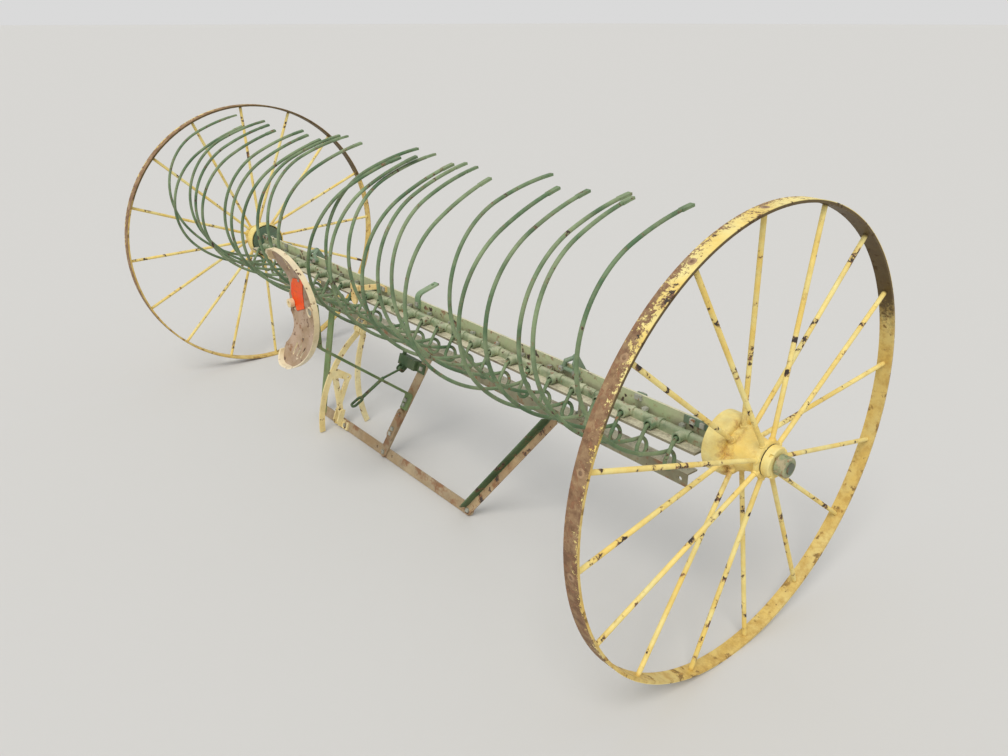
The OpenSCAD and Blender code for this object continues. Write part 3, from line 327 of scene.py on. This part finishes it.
def wheel_finish(name, side, remnants):
    """Chipped paint on rods and hub, and a rusty tread that keeps remnants of paint near its outer edge."""
    made, tree, shader, relief = new_finish(name)
    vector = object_vector(tree)
    place = axes_of(tree, vector)
    outward = times(tree, minus(tree, place["X"], side * rim_middle), side)
    drop = minus(tree, place["Z"], wheel_radius)
    squares = plus(tree, times(tree, place["Y"], place["Y"]), times(tree, drop, drop))
    radius = math_node(tree, "SQRT", squares)

    # The hub is less chipped than the rods and stained brown, most of all in the corner of its drum.
    paint = place_paint(tree, vector, Paint=wheel_yellow, Faded=sun_bleached_yellow, Chip_Scale=27.0,
                        Rusting=0.10, Rust_Scale=14.0, Grime=0.22, Fade_Scale=9.0)
    on_hub = minus(tree, 1.0, step_up(tree, radius, hub_reach, 0.06))
    chips = minus(tree, rod_chips, times(tree, on_hub, rod_chips - hub_chips))
    tree.links.new(chips, paint["Color"].node.inputs["Chips"])
    stained = step_up(tree, noise(tree, vector, 30.0, 8.0, 0.74), 0.46, 0.16)
    in_corner = within(tree, outward, drum_corner, 0.008, 0.020)
    hub_dirt = times(tree, on_hub, plus(tree, 0.16, times(tree, in_corner, 0.6)))
    colour = mix_colour(tree, times(tree, hub_dirt, stained), paint["Color"], hub_brown)
    # A dark ring on the nose stands for the gap to the collar: dark grease on the axle there, with painted
    # shade of the gap.
    on_nose = minus(tree, 1.0, step_up(tree, radius, nose_radius, 0.0008))
    gap_grease_and_shade = times(tree, within(tree, outward, nose_gap_middle, 0.0010, 0.0012), on_nose)
    colour = mix_colour(tree, gap_grease_and_shade, colour, bare_iron_and_gap_shade)

    # The rim's inner face has gone golden, and nearly black where it hangs over high up: dark rust with
    # painted shade of the overhang on it.
    coarse = noise(tree, vector, 42.0, 8.0, 0.78)
    fine = noise(tree, vector, 170.0, 4.0, 0.7)
    flakes = plus(tree, times(tree, coarse, 0.64), times(tree, fine, 0.36))
    rim_inside = step_up(tree, radius, wheel_radius - rim_depth, 0.008)
    gilding = plus(tree, 0.45, times(tree, stained, 0.45))
    colour = mix_colour(tree, times(tree, rim_inside, gilding), colour, rim_gold)
    high_up = plus(tree, place["Z"], times(tree, flakes, 0.40))
    rust_and_shade_blackening = times(tree, rim_inside, step_up(tree, high_up, rust_and_shade_height, 0.08))
    colour = mix_colour(tree, times(tree, rust_and_shade_blackening, 0.90), colour, rim_rust_and_shade_black)

    # The tread is worn to flaking rust, and its paint is kept best along the outer edge and high up.
    tread = place_paint(tree, vector, Paint=red_rust, Faded=pale_rust, Iron=(0.085, 0.058, 0.048, 1.0),
                        Rust=(0.15, 0.085, 0.062, 1.0), Chips=0.60, Chip_Scale=60.0, Rusting=0.48,
                        Rust_Scale=26.0, Grime=0.25, Fade_Scale=34.0)
    specks = step_up(tree, noise(tree, vector, 150.0, 5.0, 0.75), 0.63, 0.02)
    speckled = mix_colour(tree, times(tree, specks, 0.8), tread["Color"], speck_tan)
    on_tread = step_up(tree, radius, wheel_radius - tread_skin, 0.0012)
    edge_share = times(tree, step_up(tree, outward, -tread_edge, 0.038), 0.23)
    height_share = times(tree, step_up(tree, math_node(tree, "ABSOLUTE", drop), 0.30, 0.34), remnants)
    ragged = plus(tree, times(tree, flakes, 1.7), -0.35)
    kept = step_up(tree, plus(tree, plus(tree, ragged, edge_share), height_share), 0.77, 0.02)
    rusted = times(tree, on_tread, minus(tree, 1.0, kept))
    colour = mix_colour(tree, on_tread, colour, paint["Color"])
    tree.links.new(mix_colour(tree, rusted, colour, speckled), shader.inputs["Base Color"])

    rough = math_node(tree, "MAXIMUM", paint["Roughness"], times(tree, rusted, 0.85))
    tree.links.new(rough, shader.inputs["Roughness"])
    height = minus(tree, paint["Height"], times(tree, rusted, 0.5))
    tree.links.new(plus(tree, height, times(tree, tread["Height"], 0.5)), relief.inputs["Height"])
    return made


dress(wheel_finish("right_wheel_paint", side=1, remnants=0.27), "wheel_right")
dress(wheel_finish("left_wheel_paint", side=-1, remnants=0.08), "wheel_left")

rivet_ring = painted("rivet_ring", Paint=(0.50, 0.33, 0.19, 1.0), Faded=(0.40, 0.24, 0.13, 1.0), Chips=0.4,
                     Chip_Scale=120.0, Rusting=0.35, Rust_Scale=90.0, Grime=0.3, Fade_Scale=80.0)
rivet_heart = painted("rivet_heart", Paint=red_rust, Faded=pale_rust, Chips=0.3, Chip_Scale=100.0,
                      Rusting=0.5, Rust_Scale=70.0, Grime=0.4, Fade_Scale=60.0)


def mesh_piece(name, mesh, finishes, body, smooth_angle=35.0):
    """Finishes a bmesh as an object at the origin that rides on a body."""
    data = bpy.data.meshes.new(name)
    mesh.to_mesh(data)
    mesh.free()
    for finish in finishes:
        data.materials.append(finish)
    data.shade_smooth()
    data.set_sharp_from_angle(angle=math.radians(smooth_angle))
    made = bpy.data.objects.new(name, data)
    bpy.context.scene.collection.objects.link(made)
    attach(made, body)
    return made


def hammered_head(mesh, turn, radius, height, finish_number):
    """A flat cone that stands on the plane z = 0 and points along Z, then is turned to its place."""
    made = bmesh.ops.create_cone(mesh, cap_ends=True, segments=20, radius1=radius, radius2=radius * 0.8,
                                 depth=height, matrix=turn @ Matrix.Translation((0, 0, height / 2)))
    for face in {face for vert in made["verts"] for face in vert.link_faces}:
        face.material_index = finish_number


for side, name, first_spoke, body in ((1, "right_rivets", right_first_spoke, "right_wheel"),
                                      (-1, "left_rivets", left_first_spoke, "left_wheel")):
    rivets = bmesh.new()
    for spoke in range(spoke_count):
        angle = math.radians(first_spoke + spoke * 360 / spoke_count)
        out = Vector((0.0, math.cos(angle), math.sin(angle)))
        foot = Vector((side * rim_middle, 0.0, wheel_radius)) + out * (wheel_radius - 0.0002)
        turn = Matrix.Translation(foot) @ out.to_track_quat("Z", "X").to_matrix().to_4x4()
        hammered_head(rivets, turn, rivet_ring_radius, height=0.0005, finish_number=0)
        hammered_head(rivets, turn, rivet_heart_radius, height=0.0008, finish_number=1)
    mesh_piece(name, rivets, (rivet_ring, rivet_heart), body)

# Stub axles, drum covers and collars: turned bar, pressed discs that close the drums, and cast rings pinned
# on outside the hubs. They are dark oiled iron, brushed green where the paint reached them.
faded_green = (0.150, 0.225, 0.145, 1.0)
green = (0.095, 0.175, 0.110, 1.0)
dress(painted("axle_iron", Paint=(0.090, 0.100, 0.082, 1.0), Faded=faded_green, Chips=0.5, Chip_Scale=30.0,
              Rusting=0.45, Grime=0.7), "axles")
dress(painted("collar_green", Paint=(0.200, 0.280, 0.160, 1.0), Faded=(0.420, 0.440, 0.250, 1.0),
              Iron=(0.45, 0.39, 0.24, 1.0), Chips=0.72, Chip_Scale=46.0, Rusting=0.34, Rust_Scale=30.0,
              Grime=0.30, Fade_Scale=30.0), "collars")
dress(painted("cover_green", Paint=green, Faded=faded_green, Chips=0.4, Chip_Scale=24.0, Rusting=0.35,
              Grime=0.5), "drum_covers")

# Head: a long rolled angle iron in grey-green paint that has weathered thin, with blooms of rust and with
# earth on its level flange. Castings clamp it to the axles and carry the hinge pins, and a bent flat lever
# is bolted to it.
beam_green = (0.420, 0.500, 0.270, 1.0)
beam_faded = (0.620, 0.650, 0.400, 1.0)
beam_rust = (0.24, 0.150, 0.095, 1.0)
beam_brown = (0.215, 0.165, 0.125, 1.0)
brown_low = 0.672
brown_high = 0.702
casting_green = (0.13, 0.215, 0.135, 1.0)
casting_faded = (0.24, 0.33, 0.22, 1.0)
earth = (0.700, 0.650, 0.470, 1.0)
damp_earth = (0.26, 0.21, 0.14, 1.0)


def settled_dust_group():
    """Earth and chaff that lie on upward faces, thickest in patches."""
    group = bpy.data.node_groups.new("settled_dust", "ShaderNodeTree")
    group.interface.new_socket("Vector", in_out="INPUT", socket_type="NodeSocketVector")
    group.interface.new_socket("Normal", in_out="INPUT", socket_type="NodeSocketVector")
    group.interface.new_socket("Amount", in_out="INPUT", socket_type="NodeSocketFloat")
    group.interface.new_socket("Mask", in_out="OUTPUT", socket_type="NodeSocketFloat")
    given = group.nodes.new("NodeGroupInput").outputs
    upward = step_up(group, axes_of(group, given["Normal"])["Z"], 0.35, 0.5)
    patches = step_up(group, noise(group, given["Vector"], 17.0, 8.0, 0.7), 0.30, 0.20)
    mask = times(group, times(group, upward, patches), given["Amount"])
    group.links.new(mask, group.nodes.new("NodeGroupOutput").inputs["Mask"])
    return group


settled_dust = settled_dust_group()


def dusty(name, amount, browned=False, bump=0.0007, **values):
    """Old paint with earth lying on it; browned lets its lowest part go brown."""
    made, tree, shader, relief = new_finish(name, bump)
    coordinates = tree.nodes.new("ShaderNodeTexCoord").outputs
    vector = coordinates["Object"]
    coat = place_paint(tree, vector, **values)
    colour = coat["Color"]
    if browned:
        ragged = times(tree, noise(tree, vector, 13.0, 7.0, 0.68), 0.09)
        level = plus(tree, axes_of(tree, vector)["Z"], ragged)
        band = minus(tree, 1.0, step_up(tree, level, brown_low + 0.045, brown_high - brown_low))
        colour = mix_colour(tree, times(tree, band, 0.75), colour, beam_brown)
    dust = tree.nodes.new("ShaderNodeGroup")
    dust.node_tree = settled_dust
    dust.inputs["Amount"].default_value = amount
    tree.links.new(vector, dust.inputs["Vector"])
    tree.links.new(coordinates["Normal"], dust.inputs["Normal"])
    clods = step_up(tree, noise(tree, vector, 120.0, 6.0, 0.75), 0.50, 0.25)
    crumbs = mix_colour(tree, clods, earth, damp_earth)
    tree.links.new(mix_colour(tree, dust.outputs["Mask"], colour, crumbs), shader.inputs["Base Color"])
    rough = math_node(tree, "MAXIMUM", coat["Roughness"], dust.outputs["Mask"])
    tree.links.new(rough, shader.inputs["Roughness"])
    tree.links.new(coat["Height"], relief.inputs["Height"])
    return made


dress(dusty("head_paint", amount=0.85, browned=True, Paint=beam_green, Faded=beam_faded, Rust=beam_rust,
            Chips=0.50, Chip_Scale=26.0, Rusting=0.46, Rust_Scale=19.0, Grime=0.50, Fade_Scale=11.0),
      "head_angle")
dress(painted("bracket_green", Paint=green, Faded=faded_green, Chips=0.35, Chip_Scale=30.0, Rusting=0.35,
              Grime=0.4), "end_brackets")
dress(painted("hinge_green", Paint=casting_green, Faded=casting_faded, Chips=0.38, Chip_Scale=34.0,
              Rusting=0.38, Grime=0.35), "hinge_brackets")
dress(painted("lever_green", Paint=(0.20, 0.32, 0.18, 1.0), Faded=(0.36, 0.47, 0.29, 1.0), Chips=0.36,
              Chip_Scale=34.0, Rusting=0.3, Rust_Scale=18.0, Grime=0.25, Fade_Scale=9.0), "head_lever")

# Tooth holders and bolts: cast iron rails with a mouth for each tooth, in green paint gone chalky. They are
# held down on the head by square-headed bolts, and the head's and frame's other fittings by bolts of the
# same kind.
dress(dusty("holder_green", amount=0.30, bump=0.0009, Paint=(0.160, 0.250, 0.135, 1.0),
            Faded=(0.460, 0.510, 0.320, 1.0), Chips=0.50, Chip_Scale=34.0, Rusting=0.36, Rust_Scale=20.0,
            Grime=0.50, Fade_Scale=14.0), "holder_rails")
bolt_finish = painted("bolt_iron", Paint=(0.26, 0.29, 0.23, 1.0), Faded=(0.50, 0.50, 0.43, 1.0), Chips=0.52,
                      Chip_Scale=60.0, Rusting=0.45, Rust_Scale=34.0, Grime=0.4, Fade_Scale=12.0)
dress(bolt_finish, "holder_bolts", "head_bolts", "frame_bolts")

# Spring teeth: oil-tempered round wire, wound to a coil and bent to its curve, in thin green paint that is
# paler where the sun has reached it. Each is gripped in the mouth of its holder.
tooth_paint = painted("tooth_paint", bump=0.0003, Paint=(0.095, 0.175, 0.085, 1.0),
                      Faded=(0.260, 0.340, 0.185, 1.0), Chips=0.46, Chip_Scale=44.0, Rusting=0.24,
                      Rust_Scale=20.0, Grime=0.34, Fade_Scale=8.0)
dress(tooth_paint, *["tooth_set_%d" % number for number in range(1, 10)])

# Sill and hinge arms: the frame's rear angle bar with the cast arms bolted to it that take the hinge pins.
# Their green has gone brown with weather, and earth lies on what faces up.
for name in ("sill", "hinge_arms"):
    dress(dusty(name + "_paint", amount=0.75, Paint=(0.270, 0.245, 0.150, 1.0),
                Faded=(0.380, 0.370, 0.235, 1.0), Rust=(0.20, 0.120, 0.075, 1.0), Chips=0.46,
                Chip_Scale=26.0, Rusting=0.50, Rust_Scale=12.0, Grime=0.50, Fade_Scale=7.0), name)

# Front frame: rolled flat and angle bars bolted together. The front bar and the centre leg are bare and
# dull with rust, the right leg is flaking, and the left leg and the seat's spring are still green.
dress(painted("bare_bar", Paint=(0.360, 0.245, 0.130, 1.0), Faded=(0.500, 0.400, 0.255, 1.0),
              Iron=(0.075, 0.055, 0.045, 1.0), Chips=0.40, Chip_Scale=30.0, Rusting=0.55, Rust_Scale=10.0,
              Grime=0.55), "front_bar", "leg_centre")
bar_dark_green = (0.042, 0.092, 0.034, 1.0)
bar_pale_green = (0.100, 0.165, 0.075, 1.0)
leg_foot = Vector((0.480, -0.142, 0.021))
leg_top = Vector((0.790, -0.011, 0.470))
leg_face_normal = Vector((0.0, -0.9521, 0.3057))
flange_start = 0.0155


def two_coats(tree, shader, relief, mask, below, above):
    """Shows the coat above where the mask is 1, and the coat below elsewhere."""
    tree.links.new(mix_colour(tree, mask, below["Color"], above["Color"]), shader.inputs["Base Color"])
    rough = math_node(tree, "MAXIMUM", below["Roughness"], above["Roughness"])
    tree.links.new(rough, shader.inputs["Roughness"])
    tree.links.new(plus(tree, below["Height"], above["Height"]), relief.inputs["Height"])


def right_leg_finish():
    """Flaking rust on the leg's face, with the green left on the flange that stands along its upper side."""
    made, tree, shader, relief = new_finish("right_leg_rust", bump=0.0010, strength=0.8)
    vector = object_vector(tree)
    face = place_paint(tree, vector, Paint=(0.350, 0.215, 0.115, 1.0), Faded=(0.580, 0.420, 0.235, 1.0),
                       Iron=(0.060, 0.042, 0.036, 1.0), Chips=0.55, Chip_Scale=26.0, Rusting=0.50,
                       Rust_Scale=16.0, Grime=0.45)
    flange = place_paint(tree, vector, Paint=bar_dark_green, Faded=bar_pale_green, Chips=0.52,
                         Chip_Scale=24.0, Rusting=0.40, Rust_Scale=14.0, Grime=0.25)
    across = leg_face_normal.cross((leg_top - leg_foot).normalized()).normalized()
    upper = node(tree, "ShaderNodeVectorMath")
    upper.operation = "DOT_PRODUCT"
    tree.links.new(vector, upper.inputs[0])
    upper.inputs[1].default_value = across
    above_foot = minus(tree, upper.outputs["Value"], leg_foot.dot(across))
    ragged = times(tree, noise(tree, vector, 38.0, 6.0, 0.7), 0.006)
    on_flange = step_up(tree, plus(tree, above_foot, ragged), flange_start, 0.0006)
    two_coats(tree, shader, relief, on_flange, face, flange)
    return made


dress(right_leg_finish(), "leg_right")
dress(painted("mid_green", Paint=(0.130, 0.205, 0.070, 1.0), Faded=(0.230, 0.310, 0.130, 1.0), Chips=0.44,
              Chip_Scale=26.0, Rusting=0.34, Rust_Scale=12.0, Grime=0.30, Fade_Scale=7.0),
      "leg_left", "seat_spring")

# Trip box and pedal: a dark green casting bolted to the centre leg by its plate, and the cranked rod with a
# flat loop that turns on the casting's pin.
dress(painted("box_green", Paint=(0.030, 0.068, 0.024, 1.0), Faded=(0.075, 0.130, 0.055, 1.0), Chips=0.44,
              Chip_Scale=34.0, Rusting=0.36, Rust_Scale=18.0, Grime=0.35, Fade_Scale=12.0), "trip_box")
dress(painted("dark_green", Paint=bar_dark_green, Faded=bar_pale_green, Chips=0.42, Chip_Scale=28.0,
              Rusting=0.35, Grime=0.30), "trip_pedal")

# Seat: a dished pan of two lobes, pressed from sheet steel, with a standing lip, a pommel lug and a ring for
# the bolt that holds it to its spring. Its cream paint is worn to rusty metal in the hollow.
seat_cream = (0.84, 0.69, 0.41, 1.0)
seat_bare = (0.37, 0.255, 0.15, 1.0)
seat_middle = Vector((0.120, -0.572, 0.845))
dish_radius = 0.360
lip_depth = 0.0035


def seat_finish():
    """Worn metal in the pan's hollow, flaked with cream, and cream paint on all that stands out of it."""
    made, tree, shader, relief = new_finish("seat_paint", bump=0.0008, strength=0.7)
    coordinates = tree.nodes.new("ShaderNodeTexCoord").outputs
    vector = coordinates["Object"]
    cream = place_paint(tree, vector, Paint=seat_cream, Faded=(0.88, 0.77, 0.55, 1.0),
                        Iron=(0.16, 0.10, 0.07, 1.0), Chips=0.50, Chip_Scale=32.0, Rusting=0.34,
                        Rust_Scale=20.0, Grime=0.30)
    worn = place_paint(tree, vector, Paint=seat_bare, Faded=(0.50, 0.37, 0.27, 1.0),
                       Iron=(0.10, 0.075, 0.06, 1.0), Chips=0.48, Chip_Scale=46.0, Rusting=0.45,
                       Rust_Scale=22.0, Grime=0.35, Fade_Scale=16.0)
    facing_front = times(tree, axes_of(tree, coordinates["Normal"])["Y"], -1.0)
    inside = step_up(tree, facing_front, 0.30, 0.12)
    from_middle = node(tree, "ShaderNodeVectorMath")
    from_middle.operation = "DISTANCE"
    tree.links.new(vector, from_middle.inputs[0])
    from_middle.inputs[1].default_value = seat_middle - Vector((0, dish_radius, 0))
    sunk = step_up(tree, from_middle.outputs["Value"], dish_radius - lip_depth, 0.001)
    flakes = step_up(tree, noise(tree, vector, 26.0, 7.0, 0.7), 0.62, 0.03)
    bare = times(tree, times(tree, inside, sunk), minus(tree, 1.0, flakes))
    two_coats(tree, shader, relief, bare, cream, worn)
    return made


dress(seat_finish(), "seat")

# Tape on the pan: a faded orange-red strip, wider at its top, stuck down the hollow beside the ring of the
# seat's bolt, with wrinkles across it and the flat head of a carriage bolt through its top.
tape_orange = (0.88, 0.072, 0.004, 1.0)
tape_bleached = (0.90, 0.130, 0.016, 1.0)
tape_dirt = (0.22, 0.07, 0.03, 1.0)
tape_foot = 0.818
tape_run = 0.126
tape_stand_off = 0.0016
tape_thickness = 0.0006
tape_bolt_x = 0.116
tape_bolt_z = 0.946
tape_bolt_radius = 0.0075


def on_pan(x, z, stand_off):
    """A point in front of the pan's hollow face."""
    dx, dz = x - seat_middle.x, z - seat_middle.z
    depth = math.sqrt((dish_radius - stand_off) ** 2 - dx * dx - dz * dz)
    return Vector((x, seat_middle.y - dish_radius + depth, z))


tape = bmesh.new()
bmesh.ops.create_grid(tape, x_segments=16, y_segments=30, size=1.0)
for vert in tape.verts:
    across, along = (vert.co.x + 1) / 2, (vert.co.y + 1) / 2
    left = 0.040 + 0.115 * (along - 0.45) ** 2
    right = 0.110 + 0.055 * along ** 3
    slant = (0.019 - 0.008 * along) * across
    ripple = 0.0012 * math.sin(23 * along + 1.5) * (across - 0.5)
    wrinkle = 0.0005 * math.sin(37 * along + 5 * across) * math.sin(11 * along * along + 2)
    vert.co = on_pan(left + (right - left) * across + ripple, tape_foot + tape_run * along + slant,
                     tape_stand_off + wrinkle)
bmesh.ops.recalc_face_normals(tape, faces=tape.faces)
tape_finish, tree, shader, relief = new_finish("tape", bump=0.0004, strength=0.5)
vector = object_vector(tree)
sun_faded = step_up(tree, noise(tree, vector, 30.0, 5.0), 0.40, 0.25)
colour = mix_colour(tree, sun_faded, tape_orange, tape_bleached)
dirt = times(tree, step_up(tree, noise(tree, vector, 70.0, 6.0, 0.7), 0.56, 0.10), 0.45)
tree.links.new(mix_colour(tree, dirt, colour, tape_dirt), shader.inputs["Base Color"])
tree.links.new(plus(tree, times(tree, sun_faded, 0.2), 0.35), shader.inputs["Roughness"])
tree.links.new(noise(tree, vector, 120.0, 3.0, stretch=(1.0, 1.0, 3.0)), relief.inputs["Height"])
strip = mesh_piece("seat_tape", tape, (tape_finish,), "frame")
thickness = strip.modifiers.new("tape", "SOLIDIFY")
thickness.thickness = tape_thickness
thickness.offset = 0.0

tape_bolt = bmesh.new()
dome = bmesh.ops.create_uvsphere(tape_bolt, u_segments=20, v_segments=12, radius=tape_bolt_radius)
bmesh.ops.scale(tape_bolt, vec=(1.0, 0.45, 1.0), verts=dome["verts"])
bmesh.ops.translate(tape_bolt, vec=on_pan(tape_bolt_x, tape_bolt_z, 0.002), verts=dome["verts"])
mesh_piece("tape_bolt", tape_bolt, (bolt_finish,), "frame")

# Lift lever, its pivot and the castings that it works: a pair of bowed flat bars with an A-shaped casting at
# their foot, and iron castings bolted to the frame and the head. Their cream-yellow paint is knocked about,
# and the head's own casting is more orange.
dress(painted("lift_yellow", Paint=(0.82, 0.64, 0.27, 1.0), Faded=(0.90, 0.79, 0.45, 1.0), Chips=0.46,
              Chip_Scale=36.0, Rusting=0.28, Rust_Scale=16.0, Grime=0.35),
      "lift_pivot", "lift_bars", "foot_yoke", "yoke_base")
dress(painted("lift_orange", Paint=(0.94, 0.56, 0.12, 1.0), Faded=(0.94, 0.72, 0.33, 1.0), Chips=0.50,
              Chip_Scale=34.0, Rusting=0.32, Rust_Scale=18.0, Grime=0.35), "lift_casting")

# Split pins: soft round wire, opened out behind its hole, through the ends of the hinge pins and the lift
# pin. They are dull with rust.
wire_radius = 0.0016
hinge_pin_radius = 0.010
hinge_wire_x = 0.9125
hinge_wire_y = 0.026
lift_pin_radius = 0.008
lift_wire_at = (-0.5355, -0.024, 0.462)
pin_finish = painted("split_pin_rust", bump=0.0002, Paint=(0.14, 0.10, 0.08, 1.0),
                     Faded=(0.30, 0.20, 0.13, 1.0), Chips=0.4, Chip_Scale=90.0, Rusting=0.6,
                     Rust_Scale=60.0, Grime=0.5)


def split_pin(name, at, pin_radius, body):
    """An eye on top of a pin that lies along X, two legs down through it and their ends bent apart."""
    run = bpy.data.curves.new(name, "CURVE")
    run.dimensions = "3D"
    run.bevel_depth = wire_radius
    run.bevel_resolution = 2
    run.use_fill_caps = True
    eye, top, foot = 0.0042, pin_radius, -pin_radius - 0.004
    for side in (-1, 1):
        points = [(0.0, top + 2.2 * eye), (side * eye, top + 1.5 * eye), (side * 0.6 * eye, top + 0.3 * eye),
                  (side * wire_radius, top - 0.002), (side * wire_radius, -top), (side * 0.004, foot),
                  (side * 0.009, foot - 0.004)]
        bend = run.splines.new("NURBS")
        bend.points.add(len(points) - 1)
        bend.use_endpoint_u = True
        for point, (out, up) in zip(bend.points, points):
            point.co = (*(Vector(at) + Vector((out, 0, up))), 1.0)
    drawn = bpy.data.objects.new(name, run)
    bpy.context.scene.collection.objects.link(drawn)
    data = bpy.data.meshes.new_from_object(drawn)
    bpy.data.objects.remove(drawn)
    wire = bmesh.new()
    wire.from_mesh(data)
    bpy.data.meshes.remove(data)
    bmesh.ops.recalc_face_normals(wire, faces=wire.faces)
    mesh_piece(name, wire, (pin_finish,), body, smooth_angle=60.0)


for side, word in ((1, "right"), (-1, "left")):
    at = (side * hinge_wire_x, hinge_wire_y, wheel_radius)
    split_pin("hinge_pin_wire_" + word, at, hinge_pin_radius, "head")
split_pin("lift_pin_wire", lift_wire_at, lift_pin_radius, "frame")
